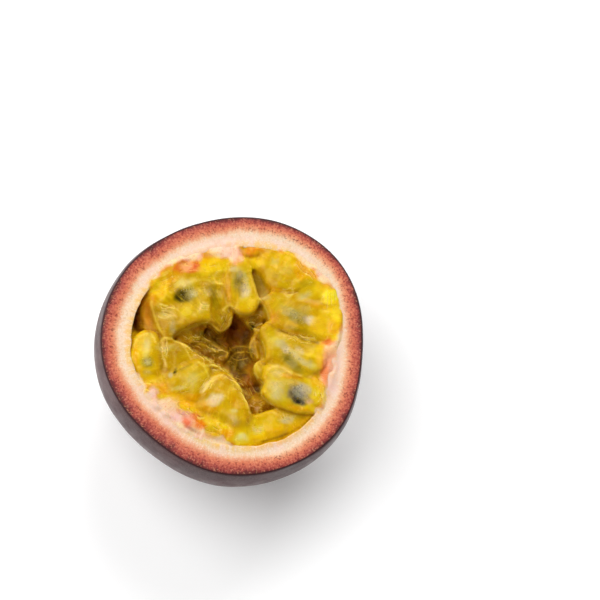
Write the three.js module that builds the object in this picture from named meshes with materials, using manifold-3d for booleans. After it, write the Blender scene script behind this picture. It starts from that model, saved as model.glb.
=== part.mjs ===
// Half of a purple passion fruit, lying on its rounded end with the cut face up.
//
// The shell is the fruit's wall: thin tough skin outside, red layer and cream pith inside it, all one
// piece, open at the cut. The pulp lines the shell as a mass of juice sacs, each holding one seed,
// that grow inwards from the wall and leave a hollow in the middle of the fruit.
//
// Units are millimetres and +Z is up. Heights in the functions below are measured from the fruit's
// equator, its widest level; the finished group is moved so that the resting spot is at z = 0 and the
// fruit's outline is centred on the Z axis.

import * as THREE from "three";
import { mergeVertices } from "three/addons/utils/BufferGeometryUtils.js";
import Module from "manifold-3d";

// ---------------------------------------------------------------- driving dimensions
const EQUATOR_RADIUS = 27.5; // a fruit of 55 mm
const POLE_RADIUS = 25.7; // equator to the closed end
const CUT_HEIGHT = 6.2; // the knife went a little above the widest level
const REST_SPOT_RADIUS = 5.5; // the small flat that the fruit lies on
const EDGE_ROUNDING = 0.35; // skin edge and pith edge at the cut

const CAVITY_RADIUS = 22.05; // inside of the pith at the equator
const CAVITY_DEPTH = 20.1; // equator to the cavity's floor
const GAP = 0.3; // between the pith and the pulp

// The open middle of the pulp, down to its floor, and the wider well in the lining behind the sacs.
const HOLLOW = { x: 0.9, y: -1.4, halfX: 8.0, halfY: 10.2, depth: 17.5 };
const LINING_BELOW_CUT = 4.2; // top of the juicy lining that the sacs grow from

// Unevenness of the outline: [number of lobes, height in mm, direction of one lobe in degrees].
// The three big lobes lie between the three seed-bearing ridges of the wall.
const OUTER_LOBES = [
  [2, 0.11, 35],
  [3, 0.7, 51.7],
  [4, 0.11, -43],
  [5, 0.14, -33],
  [6, 0.11, 22],
];
const INNER_LOBES = [
  [1, 0.23, -10],
  [2, 0.35, 29],
  [3, 0.63, 45],
  [4, 0.4, 34.7],
  [5, 0.19, 33],
];

// The three ridges of the wall that bear the seeds: directions, half width in degrees, height in mm.
const SEED_RIDGES = { at: [104, 222, 346], halfWidth: 15, height: 0.6 };

const SIDES = 60;
const CUT_SAC_SIDES = 12;
const DEEP_SAC_SIDES = 9;

// Sacs at the cut: centre x and y, half length, half width, half height, direction of the length in
// degrees, and depth of the centre below the cut.
const CUT_SACS = [
  { x: -8.6, y: 9.0, a: 6.0, b: 4.4, c: 3.7, dir: -38, z: 3.1 },
  { x: -12.9, y: 5.2, a: 5.2, b: 3.4, c: 3.5, dir: -58, z: 3.6 },
  { x: -3.6, y: 9.8, a: 6.2, b: 3.0, c: 3.5, dir: 96, z: 4.2 },
  { x: 1.6, y: 11.6, a: 6.0, b: 3.6, c: 3.6, dir: 99, z: 3.0 },
  { x: 8.2, y: 14.0, a: 6.2, b: 4.8, c: 3.7, dir: 52, z: 3.4 },
  { x: 15.0, y: 10.6, a: 4.8, b: 3.5, c: 3.4, dir: 34, z: 3.8 },
  { x: 12.0, y: 5.2, a: 7.4, b: 4.1, c: 3.8, dir: -20, z: 3.0 },
  { x: 12.2, y: -2.0, a: 7.4, b: 4.1, c: 3.7, dir: -22, z: 3.2 },
  { x: 11.4, y: -9.6, a: 6.6, b: 4.4, c: 3.7, dir: -14, z: 3.0 },
  { x: 9.6, y: -15.4, a: 6.0, b: 3.6, c: 3.5, dir: 28, z: 3.6 },
  { x: 2.6, y: -17.4, a: 5.8, b: 3.5, c: 3.5, dir: 12, z: 3.7 },
  { x: -4.6, y: -16.2, a: 5.6, b: 3.6, c: 3.4, dir: -28, z: 3.9 },
  { x: -3.1, y: -11.2, a: 6.8, b: 4.2, c: 3.7, dir: -38, z: 3.1 },
  { x: -9.4, y: -7.8, a: 5.7, b: 4.0, c: 3.6, dir: 25, z: 3.2 },
  { x: -12.0, y: -1.6, a: 5.4, b: 3.6, c: 3.5, dir: -40, z: 3.8 },
  { x: -17.6, y: -2.6, a: 5.2, b: 2.9, c: 3.4, dir: 98, z: 3.1 },
  { x: -14.6, y: -9.0, a: 4.8, b: 3.2, c: 3.4, dir: -50, z: 3.9 },
  { x: -8.8, y: 14.6, a: 5.2, b: 3.0, c: 3.3, dir: 34, z: 4.0 },
];

// Deeper sacs stand in rings on the wall: how many, depth below the cut, distance of their centres
// from the axis, half sizes along the radius, across it and upright, and the first one's direction.
const DEEP_RINGS = [
  { count: 11, z: 9.0, r: 13.6, a: 5.6, b: 4.0, c: 3.6, first: 12 },
  { count: 9, z: 14.4, r: 11.6, a: 5.2, b: 4.1, c: 3.6, first: 31 },
  { count: 5, z: 18.6, r: 6.6, a: 4.6, b: 4.1, c: 3.4, first: 5 },
];

// ---------------------------------------------------------------- outline
const rad = THREE.MathUtils.degToRad;

function lobes(table, angle) {
  return table.reduce(
    (sum, [n, height, dir]) => sum + height * Math.cos(n * (angle - rad(dir))),
    0,
  );
}

// How far the seed-bearing ridges stand in from the wall.
function ridges(angle) {
  return SEED_RIDGES.at.reduce((sum, at) => {
    const away = Math.atan2(Math.sin(angle - rad(at)), Math.cos(angle - rad(at)));
    return sum + SEED_RIDGES.height * Math.exp(-((away / rad(SEED_RIDGES.halfWidth)) ** 2));
  }, 0);
}

function ellipse(radius, depth, height) {
  return radius * Math.sqrt(Math.max(0, 1 - (height / depth) ** 2));
}

// The share of the lobes that is left at a level: all of it at the cut, none at the closed end.
function share(r, rAtCut) {
  return Math.min(1.15, (r / rAtCut) ** 1.5);
}

const OUTER_AT_CUT = ellipse(EQUATOR_RADIUS, POLE_RADIUS, CUT_HEIGHT);
const INNER_AT_CUT = ellipse(CAVITY_RADIUS, CAVITY_DEPTH, CUT_HEIGHT);
const REST_HEIGHT = -POLE_RADIUS * Math.sqrt(1 - (REST_SPOT_RADIUS / EQUATOR_RADIUS) ** 2);

// A turned solid from a profile of { r, z, side }, whose rings are then pushed out by the lobes of
// the outer or the inner surface.
function uneven(profile, sides) {
  const points = profile.map((p) => new THREE.Vector2(p.r, p.z));
  const geometry = new THREE.LatheGeometry(points, sides);
  const position = geometry.attributes.position;
  const perSide = profile.length;
  for (let i = 0; i < position.count; i++) {
    const p = profile[i % perSide];
    if (p.r < 1e-6) {
      position.setXYZ(i, 0, p.z, 0);
      continue;
    }
    // a lathe turns round Y: x = r sin, z = r cos
    const angle = Math.atan2(position.getX(i), position.getZ(i));
    const push =
      p.side === "outer"
        ? lobes(OUTER_LOBES, angle) * share(p.r, OUTER_AT_CUT)
        : (lobes(INNER_LOBES, angle) - ridges(angle)) * share(p.r, INNER_AT_CUT);
    const r = p.r + push;
    position.setXYZ(i, r * Math.sin(angle), p.z, r * Math.cos(angle));
  }
  // turn Y up into Z up, with the lathe's angle counted from +X towards +Y
  geometry.applyMatrix4(
    new THREE.Matrix4().makeBasis(
      new THREE.Vector3(0, 1, 0),
      new THREE.Vector3(0, 0, 1),
      new THREE.Vector3(1, 0, 0),
    ),
  );
  return geometry;
}

function arc(radius, depth, from, to, steps, side) {
  // equal steps of angle along an ellipse between two heights
  const a0 = Math.asin(from / depth);
  const a1 = Math.asin(to / depth);
  return Array.from({ length: steps + 1 }, (_, i) => {
    const a = a0 + ((a1 - a0) * i) / steps;
    return { r: radius * Math.cos(a), z: depth * Math.sin(a), side };
  });
}

function shellProfile() {
  const e = EDGE_ROUNDING;
  return [
    { r: 0, z: REST_HEIGHT, side: "outer" },
    ...arc(EQUATOR_RADIUS, POLE_RADIUS, REST_HEIGHT, CUT_HEIGHT - e, 14, "outer"),
    { r: OUTER_AT_CUT - e, z: CUT_HEIGHT, side: "outer" },
    { r: INNER_AT_CUT + e, z: CUT_HEIGHT, side: "inner" },
    ...arc(CAVITY_RADIUS, CAVITY_DEPTH, CUT_HEIGHT - e, -CAVITY_DEPTH, 11, "inner"),
  ].map((p, i, all) => (i === all.length - 1 ? { ...p, r: 0 } : p));
}

// What the pulp may fill: the cavity less the gap, and a little above the cut.
function roomProfile() {
  const radius = CAVITY_RADIUS - GAP;
  const depth = CAVITY_DEPTH - GAP;
  const top = ellipse(radius, depth, CUT_HEIGHT);
  return [
    { r: 0, z: -depth, side: "inner" },
    ...arc(radius, depth, -depth, CUT_HEIGHT, 11, "inner").slice(1),
    { r: top - 0.4, z: CUT_HEIGHT + 2.5, side: "inner" },
    { r: 0, z: CUT_HEIGHT + 2.5, side: "inner" },
  ];
}

// ---------------------------------------------------------------- joining and cutting
const wasm = await Module();
wasm.setup();

function solid(geometry) {
  const bare = new THREE.BufferGeometry();
  bare.setAttribute("position", geometry.getAttribute("position"));
  if (geometry.index) bare.setIndex(geometry.index);
  const merged = mergeVertices(bare, 1e-4);
  return new wasm.Manifold(
    new wasm.Mesh({
      numProp: 3,
      vertProperties: new Float32Array(merged.attributes.position.array),
      triVerts: new Uint32Array(merged.index.array),
    }),
  );
}

// The geometry of a solid's outer skin: the pockets that the joined sacs enclose are full of juice.
function geometryOf(body) {
  const mesh = body.getMesh();
  const at = (i, k) => mesh.vertProperties[mesh.numProp * i + k];

  // group the vertices that faces connect
  const group = Array.from({ length: mesh.numVert }, (_, i) => i);
  const find = (i) => {
    while (group[i] !== i) i = group[i] = group[group[i]];
    return i;
  };
  const faces = mesh.triVerts;
  for (let f = 0; f < faces.length; f += 3) {
    group[find(faces[f + 1])] = find(faces[f]);
    group[find(faces[f + 2])] = find(faces[f]);
  }

  // the skin is the group that encloses the most
  const volume = new Map();
  for (let f = 0; f < faces.length; f += 3) {
    const [a, b, c] = [0, 1, 2].map(
      (k) => new THREE.Vector3(at(faces[f + k], 0), at(faces[f + k], 1), at(faces[f + k], 2)),
    );
    const root = find(faces[f]);
    volume.set(root, (volume.get(root) ?? 0) + a.dot(b.cross(c)) / 6);
  }
  const skin = [...volume].sort((p, q) => q[1] - p[1])[0][0];

  const positions = [];
  for (let f = 0; f < faces.length; f += 3)
    if (find(faces[f]) === skin)
      for (let k = 0; k < 3; k++)
        positions.push(at(faces[f + k], 0), at(faces[f + k], 1), at(faces[f + k], 2));
  const geometry = new THREE.BufferGeometry();
  geometry.setAttribute("position", new THREE.Float32BufferAttribute(positions, 3));
  const merged = mergeVertices(geometry, 1e-5);
  merged.computeVertexNormals();
  return merged;
}

// ---------------------------------------------------------------- sacs
// A juice sac: an egg with its blunt end towards the middle of the fruit.
function sac(sides, x, y, depth, a, b, c, direction, tilt = 0) {
  const geometry = new THREE.SphereGeometry(1, sides, Math.round(0.7 * sides));
  geometry.rotateZ(Math.PI / 2); // poles along X
  const p = geometry.attributes.position;
  for (let i = 0; i < p.count; i++) {
    const along = p.getX(i);
    const fat = 1 - 0.13 * along;
    p.setXYZ(i, along * a, p.getY(i) * b * fat, p.getZ(i) * c * fat);
  }
  geometry.rotateY(-rad(tilt));
  geometry.rotateZ(rad(direction));
  geometry.translate(x, y, CUT_HEIGHT - depth);
  return geometry;
}

function wallwards(x, y, direction) {
  // turn the length so that its thin end points outwards from the axis
  const out = Math.cos(rad(direction)) * x + Math.sin(rad(direction)) * y;
  return out < 0 ? direction + 180 : direction;
}

// The well in the lining: oval, with a rounded floor, a little wider half way down than at its mouth.
function hollow() {
  const steps = 9;
  const points = [new THREE.Vector2(0, -HOLLOW.depth)];
  for (let i = 1; i <= steps; i++) {
    const a = (Math.PI / 2) * (i / steps);
    points.push(
      new THREE.Vector2(
        1.12 * Math.sin(a),
        -HOLLOW.depth + (HOLLOW.depth - 8) * (1 - Math.cos(a)),
      ),
    );
  }
  points.push(new THREE.Vector2(1.0, -3));
  points.push(new THREE.Vector2(1.0, 6));
  points.push(new THREE.Vector2(0, 6));
  const geometry = new THREE.LatheGeometry(points, 20);
  geometry.rotateX(Math.PI / 2);
  geometry.scale(HOLLOW.halfX, HOLLOW.halfY, 1);
  geometry.translate(HOLLOW.x, HOLLOW.y, CUT_HEIGHT);
  return geometry;
}

function pulpSolid() {
  const room = solid(uneven(roomProfile(), SIDES));
  const lid = new THREE.BoxGeometry(80, 80, 20);
  lid.translate(0, 0, CUT_HEIGHT - LINING_BELOW_CUT + 10);
  let body = room.subtract(solid(lid)).subtract(solid(hollow()));
  for (const s of CUT_SACS)
    body = body.add(
      solid(
        sac(CUT_SAC_SIDES, s.x, s.y, s.z, s.a, s.b, s.c, wallwards(s.x, s.y, s.dir), -6),
      ),
    );
  DEEP_RINGS.forEach((ring, k) => {
    for (let i = 0; i < ring.count; i++) {
      const step = 360 / ring.count;
      const wobble = Math.sin(7.3 * i + 2.1 * k);
      const angle = ring.first + step * i + 5 * wobble;
      const r = ring.r + 0.5 * Math.cos(4.7 * i + k);
      const grown = 1 + 0.07 * Math.sin(3.9 * i + 1.3 * k);
      body = body.add(
        solid(
          sac(
            DEEP_SAC_SIDES,
            r * Math.cos(rad(angle)),
            r * Math.sin(rad(angle)),
            ring.z + 0.5 * wobble,
            ring.a * grown,
            ring.b * grown,
            ring.c,
            angle,
            k === 2 ? -35 : -14,
          ),
        ),
      );
    }
  });
  return body.intersect(room);
}

// ---------------------------------------------------------------- the part
const shellMesh = new THREE.Mesh(
  uneven(shellProfile(), SIDES),
  new THREE.MeshStandardMaterial({ color: 0x5d3f42, roughness: 0.55, metalness: 0 }),
);
shellMesh.name = "shell";

const pulpMesh = new THREE.Mesh(
  geometryOf(pulpSolid()),
  new THREE.MeshStandardMaterial({ color: 0xd9b31f, roughness: 0.25, metalness: 0 }),
);
pulpMesh.name = "pulp";

const fruit = new THREE.Group();
fruit.add(shellMesh, pulpMesh);
const outline = new THREE.Box3().setFromObject(shellMesh);
fruit.position.set(
  -(outline.min.x + outline.max.x) / 2,
  -(outline.min.y + outline.max.y) / 2,
  -REST_HEIGHT,
);

const passionFruitHalf = new THREE.Group();
passionFruitHalf.add(fruit);

export default passionFruitHalf;
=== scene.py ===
import math

import bpy
import numpy as np
from mathutils import Matrix, Vector


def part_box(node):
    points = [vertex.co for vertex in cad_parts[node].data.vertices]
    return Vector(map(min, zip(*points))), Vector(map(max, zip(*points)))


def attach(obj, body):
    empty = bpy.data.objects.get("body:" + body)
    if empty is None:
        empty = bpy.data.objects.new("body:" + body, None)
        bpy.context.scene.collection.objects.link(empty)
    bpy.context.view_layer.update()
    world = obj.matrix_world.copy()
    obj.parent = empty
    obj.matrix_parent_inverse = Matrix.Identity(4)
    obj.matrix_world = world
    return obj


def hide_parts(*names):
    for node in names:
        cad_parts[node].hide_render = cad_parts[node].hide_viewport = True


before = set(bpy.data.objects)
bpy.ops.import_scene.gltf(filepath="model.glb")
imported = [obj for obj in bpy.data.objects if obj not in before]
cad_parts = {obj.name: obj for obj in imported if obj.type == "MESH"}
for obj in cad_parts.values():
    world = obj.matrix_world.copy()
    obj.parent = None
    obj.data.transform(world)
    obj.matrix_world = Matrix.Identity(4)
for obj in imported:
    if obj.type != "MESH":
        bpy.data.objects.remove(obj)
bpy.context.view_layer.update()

# Everything below is worked out in millimetres in the fruit's own frame: the origin is the middle of
# the cut face, +Z is up, and z = 0 is the cut. place() turns that into the row's frame in metres.
MM = 0.001
shell_low, shell_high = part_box("shell")
AXIS = np.array([0.770, 0.306])                 # the fruit's axis in the row frame
CUT_Z = shell_high.z / MM                       # the cut's height over the floor


def place(p):
    p = np.asarray(p, float)
    return (p + np.array([AXIS[0], AXIS[1], CUT_Z])) * MM


def rgb(r, g, b):
    """An sRGB colour, 0 to 255, as linear light."""
    def one(c):
        c /= 255.0
        return c / 12.92 if c <= 0.04045 else ((c + 0.055) / 1.055) ** 2.4
    return (one(r), one(g), one(b))


def shown(r, g, b, light=1.28):
    """The colour of a matt surface that looks like this sRGB colour under the studio lights."""
    return tuple(c / light for c in rgb(r, g, b))


# ------------------------------------------------------------------ the camera, which comes first
PX = 0.2012                # mm of the cut face for one pixel of the 600 x 600 picture
FACE_PX = (236.2, 343.5)   # the picture point of the cut face's middle
TILT = math.radians(14.7)  # how far the camera stands off the cut's axis
TOWARD = math.radians(-119.5)   # and to which side of it
DISTANCE = 620.0           # mm from the cut face


def off_axis():
    return np.array([math.cos(TOWARD), math.sin(TOWARD)])


def on_face(px, py, depth=0.0):
    """The point of the fruit, depth mm under the cut, that shows at a picture point."""
    q = np.array([(px - FACE_PX[0]) * PX, -(py - FACE_PX[1]) * PX])
    g = off_axis()
    q = q + (1 / math.cos(TILT) - 1) * (q @ g) * g
    q = q - math.tan(TILT) * depth * g
    return q[0], q[1]


def make_camera():
    g = off_axis()
    back = np.array([g[0] * math.sin(TILT), g[1] * math.sin(TILT), math.cos(TILT)])
    where = Vector(place(back * DISTANCE))
    turn = Vector((0, 0, 1)).rotation_difference(Vector(back)).to_matrix()
    # the fruit sits left of and below the middle of the picture, so the camera looks past it
    dx = math.atan((300 - FACE_PX[0]) * PX / DISTANCE)
    dy = math.atan((FACE_PX[1] - 300) * PX / DISTANCE)
    aim = Matrix.Rotation(-dx, 3, "Y") @ Matrix.Rotation(dy, 3, "X")
    data = bpy.data.cameras.new("camera")
    data.sensor_width = 36.0
    data.lens = 36.0 * DISTANCE / (600 * PX)
    data.clip_start, data.clip_end = 0.01, 10.0
    cam = bpy.data.objects.new("camera", data)
    bpy.context.scene.collection.objects.link(cam)
    cam.matrix_world = Matrix.Translation(where) @ (turn @ aim).to_4x4()
    bpy.context.scene.camera = cam
    return cam


make_camera()


# ------------------------------------------------------------------ noise
class Noise:
    """Smooth value noise from -1 to 1 on points in millimetres."""

    def __init__(self, seed):
        rng = np.random.default_rng(seed)
        self.table = (rng.random((32, 32, 32)) * 2 - 1).astype(np.float32)

    def at(self, p, size):
        q = np.asarray(p, np.float32) / np.float32(size)
        i = np.floor(q).astype(np.int64)
        f = q - i
        f = f * f * f * (f * (f * 6 - 15) + 10)
        a, b = i & 31, (i + 1) & 31
        t = self.table
        out = 0
        for dx in (0, 1):
            wx = f[..., 0] if dx else 1 - f[..., 0]
            ix = b[..., 0] if dx else a[..., 0]
            for dy in (0, 1):
                wy = f[..., 1] if dy else 1 - f[..., 1]
                iy = b[..., 1] if dy else a[..., 1]
                for dz in (0, 1):
                    wz = f[..., 2] if dz else 1 - f[..., 2]
                    iz = b[..., 2] if dz else a[..., 2]
                    out = out + wx * wy * wz * t[ix, iy, iz]
        return out

    def many(self, p, size, octaves=3, gain=0.5):
        out, weight, total = 0, 1.0, 0.0
        for k in range(octaves):
            out = out + weight * self.at(np.asarray(p) + 17.3 * k, size / 2**k)
            total += weight
            weight *= gain
        return out / total


def smooth(lo, hi, x):
    t = np.clip((x - lo) / (hi - lo), 0, 1)
    return t * t * (3 - 2 * t)


def mix(a, b, t):
    t = np.asarray(t)[..., None] if np.ndim(t) else t
    return np.asarray(a) * (1 - t) + np.asarray(b) * t


# ------------------------------------------------------------------ the fruit's outline, as in the frame
EQUATOR_RADIUS, POLE_RADIUS, CUT_HEIGHT = 27.5, 25.7, 6.2
REST_SPOT_RADIUS = 5.5
CAVITY_RADIUS, CAVITY_DEPTH = 22.05, 20.1
OUTER_LOBES = [(2, 0.11, 35), (3, 0.7, 51.7), (4, 0.11, -43), (5, 0.14, -33), (6, 0.11, 22)]
INNER_LOBES = [(1, 0.23, -10), (2, 0.35, 29), (3, 0.63, 45), (4, 0.4, 34.7), (5, 0.19, 33)]
RIDGES = [104, 222, 346]


def lobes(table, angle):
    return sum(h * np.cos(n * (angle - math.radians(d))) for n, h, d in table)


def ridges(angle, half=15.0, height=0.6):
    out = 0
    for at in RIDGES:
        away = np.angle(np.exp(1j * (angle - math.radians(at))))
        out = out + height * np.exp(-((away / math.radians(half)) ** 2))
    return out


def ellipse(radius, depth, height):
    return radius * np.sqrt(np.maximum(0, 1 - (np.asarray(height) / depth) ** 2))


OUTER_AT_CUT = float(ellipse(EQUATOR_RADIUS, POLE_RADIUS, CUT_HEIGHT))
INNER_AT_CUT = float(ellipse(CAVITY_RADIUS, CAVITY_DEPTH, CUT_HEIGHT))
REST_Z = -POLE_RADIUS * math.sqrt(1 - (REST_SPOT_RADIUS / EQUATOR_RADIUS) ** 2)   # from the equator


def share(r, at_cut):
    return np.minimum(1.15, (np.maximum(r, 0) / at_cut) ** 1.5)


def outer_radius(angle, z):
    """z is measured from the cut, downwards negative."""
    r = ellipse(EQUATOR_RADIUS, POLE_RADIUS, z + CUT_HEIGHT)
    return r + lobes(OUTER_LOBES, angle) * share(r, OUTER_AT_CUT)


def inner_radius(angle, z):
    r = ellipse(CAVITY_RADIUS, CAVITY_DEPTH, np.minimum(z, 0) + CUT_HEIGHT)
    return r + (lobes(INNER_LOBES, angle) - ridges(angle)) * share(r, INNER_AT_CUT)


# ------------------------------------------------------------------ mesh helpers
def new_mesh(name, verts, quads, values=None, colours=None):
    """A smooth mesh piece from millimetre points, with named numbers and colours on its points."""
    verts = place(verts).astype(np.float32)
    quads = np.asarray(quads, np.int32)
    mesh = bpy.data.meshes.new(name)
    mesh.vertices.add(len(verts))
    mesh.vertices.foreach_set("co", verts.ravel())
    n = quads.shape[1]
    mesh.loops.add(quads.size)
    mesh.loops.foreach_set("vertex_index", quads.ravel())
    mesh.polygons.add(len(quads))
    mesh.polygons.foreach_set("loop_start", np.arange(0, quads.size, n, dtype=np.int32))
    mesh.polygons.foreach_set("loop_total", np.full(len(quads), n, np.int32))
    mesh.update(calc_edges=True)
    mesh.validate()
    mesh.polygons.foreach_set("use_smooth", np.ones(len(mesh.polygons), bool))
    for key, v in (values or {}).items():
        a = mesh.attributes.new(key, "FLOAT", "POINT")
        a.data.foreach_set("value", np.asarray(v, np.float32))
    for key, c in (colours or {}).items():
        a = mesh.attributes.new(key, "FLOAT_COLOR", "POINT")
        c = np.concatenate([np.asarray(c, np.float32), np.ones((len(c), 1), np.float32)], 1)
        a.data.foreach_set("color", c.ravel())
    ob = bpy.data.objects.new(name, mesh)
    bpy.context.scene.collection.objects.link(ob)
    return ob


def surface_nets(D, origin, h):
    """The zero surface of a field on a grid, as points and outward quads."""
    inside = D < 0
    nx, ny, nz = D.shape
    count = np.zeros((nx - 1, ny - 1, nz - 1), np.uint8)
    corners = [(dx, dy, dz) for dx in (0, 1) for dy in (0, 1) for dz in (0, 1)]
    for dx, dy, dz in corners:
        count += inside[dx:nx - 1 + dx, dy:ny - 1 + dy, dz:nz - 1 + dz]
    active = (count > 0) & (count < 8)
    cells = np.argwhere(active)
    index = np.full(active.shape, -1, np.int64)
    index[active] = np.arange(len(cells))
    pos, hits = np.zeros((len(cells), 3)), np.zeros(len(cells))
    for a in corners:
        for axis in range(3):
            if a[axis]:
                continue
            b = list(a)
            b[axis] = 1
            pa, pb = cells + a, cells + b
            da, db = D[tuple(pa.T)], D[tuple(pb.T)]
            cross = (da < 0) != (db < 0)
            t = da[cross] / (da[cross] - db[cross])
            pos[cross] += pa[cross] + t[:, None] * (pb[cross] - pa[cross])
            hits[cross] += 1
    pos /= hits[:, None]
    faces = []
    for axis in range(3):
        u, v = (axis + 1) % 3, (axis + 2) % 3
        lo = [slice(1, -1)] * 3
        lo[axis] = slice(0, -1)
        hi = [slice(1, -1)] * 3
        hi[axis] = slice(1, None)
        change = inside[tuple(lo)] != inside[tuple(hi)]
        g = np.argwhere(change)
        start = np.array([1, 1, 1])
        start[axis] = 0
        g = g + start
        out = inside[tuple(g.T)]
        ring = []
        for du, dv in ((-1, -1), (0, -1), (0, 0), (-1, 0)):
            c = g.copy()
            c[:, u] += du
            c[:, v] += dv
            ring.append(index[tuple(c.T)])
        q = np.stack(ring, 1)
        q[~out] = q[~out][:, ::-1]
        faces.append(q)
    faces = np.concatenate(faces)
    assert faces.min() >= 0
    return pos * h + np.asarray(origin), faces


class Field:
    """A distance field in millimetres on a grid, negative inside."""

    def __init__(self, low, high, h):
        self.h = h
        self.low = np.array(low, float)
        self.n = np.ceil((np.array(high) - self.low) / h).astype(int) + 1
        self.D = np.full(self.n, 3.0, np.float32)

    def region(self, centre, reach):
        a = np.maximum(np.floor((np.asarray(centre) - reach - self.low) / self.h).astype(int), 0)
        b = np.minimum(np.ceil((np.asarray(centre) + reach - self.low) / self.h).astype(int) + 1, self.n)
        if (b <= a).any():
            return None, None
        s = tuple(slice(i, j) for i, j in zip(a, b))
        grid = np.meshgrid(*[self.low[k] + self.h * np.arange(a[k], b[k]) for k in range(3)], indexing="ij")
        return s, np.stack(grid, -1).astype(np.float32)

    def join(self, centre, reach, distance, k):
        s, p = self.region(centre, reach)
        if s is None:
            return
        d = distance(p).astype(np.float32)
        old = self.D[s]
        blend = np.maximum(k - np.abs(old - d), 0) / k
        self.D[s] = np.minimum(old, d) - blend * blend * k * 0.25

    def carve(self, centre, reach, distance, k):
        s, p = self.region(centre, reach)
        if s is None:
            return
        d = -distance(p).astype(np.float32)
        old = self.D[s]
        blend = np.maximum(k - np.abs(old - d), 0) / k
        self.D[s] = np.maximum(old, d) + blend * blend * k * 0.25

    def mesh(self, least=None):
        v, q = surface_nets(self.D, self.low, self.h)
        v, q = biggest(v, q, least)
        # settle the points onto the surface
        for _ in range(2):
            d, g = self.sample(v)
            v = v - (d / np.maximum((g * g).sum(1), 0.25))[:, None] * g * 0.8
        return v, q

    def sample(self, p):
        q = (p - self.low) / self.h
        i = np.clip(np.floor(q).astype(int), 0, self.n - 2)
        f = q - i
        c = {}
        for dx in (0, 1):
            for dy in (0, 1):
                for dz in (0, 1):
                    c[dx, dy, dz] = self.D[i[:, 0] + dx, i[:, 1] + dy, i[:, 2] + dz]
        x, y, z = f.T
        def lerp(a, b, t):
            return a + (b - a) * t
        x00, x10 = lerp(c[0, 0, 0], c[1, 0, 0], x), lerp(c[0, 1, 0], c[1, 1, 0], x)
        x01, x11 = lerp(c[0, 0, 1], c[1, 0, 1], x), lerp(c[0, 1, 1], c[1, 1, 1], x)
        y0, y1 = lerp(x00, x10, y), lerp(x01, x11, y)
        value = lerp(y0, y1, z)
        gz = y1 - y0
        gy = lerp(x10 - x00, x11 - x01, z)
        gx = lerp(lerp(c[1, 0, 0] - c[0, 0, 0], c[1, 1, 0] - c[0, 1, 0], y),
                  lerp(c[1, 0, 1] - c[0, 0, 1], c[1, 1, 1] - c[0, 1, 1], y), z)
        return value, np.stack([gx, gy, gz], 1) / self.h


def biggest(v, q, least=None):
    """The largest connected part of a mesh, or every part with at least so many points."""
    label = np.arange(len(v))
    for _ in range(200):
        low = label[q].min(1)
        new = label.copy()
        for k in range(4):
            np.minimum.at(new, q[:, k], low)
        new = new[new]
        if (new == label).all():
            break
        label = new
    names, counts = np.unique(label, return_counts=True)
    keep = label == names[counts.argmax()] if least is None else np.isin(label, names[counts >= least])
    number = np.cumsum(keep) - 1
    return v[keep], number[q[keep[q[:, 0]]]]


def add_spokes(ob, verts, inward):
    """A vector on the points that follows the spokes of the cut, for streaks and fibres."""
    around = np.arctan2(verts[:, 1], verts[:, 0])
    line = np.stack([25 * np.cos(around), 25 * np.sin(around), inward * 0.28], 1)
    spoke = ob.data.attributes.new("spoke", "FLOAT_VECTOR", "POINT")
    spoke.data.foreach_set("vector", line.astype(np.float32).ravel())


def thinned(verts, quads, spare, most):
    """The same surface with fewer faces where they can be spared, at most so many triangles in all."""
    if 2 * len(quads) <= most:
        return verts, quads
    mesh = bpy.data.meshes.new("thinned")
    mesh.from_pydata(verts.tolist(), [], quads.tolist())
    ob = bpy.data.objects.new("thinned", mesh)
    bpy.context.scene.collection.objects.link(ob)
    group = ob.vertex_groups.new(name="spare")
    for weight in (0.3, 1.0):
        group.add(np.where(np.isclose(spare, weight))[0].tolist(), weight, "REPLACE")
    fewer = ob.modifiers.new("fewer", "DECIMATE")
    fewer.ratio = most / (2 * len(quads))
    fewer.vertex_group = "spare"
    fewer.use_collapse_triangulate = True
    graph = bpy.context.evaluated_depsgraph_get()
    out = bpy.data.meshes.new_from_object(ob.evaluated_get(graph))
    out.calc_loop_triangles()
    v, t = np.empty(len(out.vertices) * 3), np.empty(len(out.loop_triangles) * 3, np.int32)
    out.vertices.foreach_get("co", v)
    out.loop_triangles.foreach_get("vertices", t)
    bpy.data.objects.remove(ob)
    bpy.data.meshes.remove(mesh)
    bpy.data.meshes.remove(out)
    return v.reshape(-1, 3), t.reshape(-1, 3)


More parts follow.
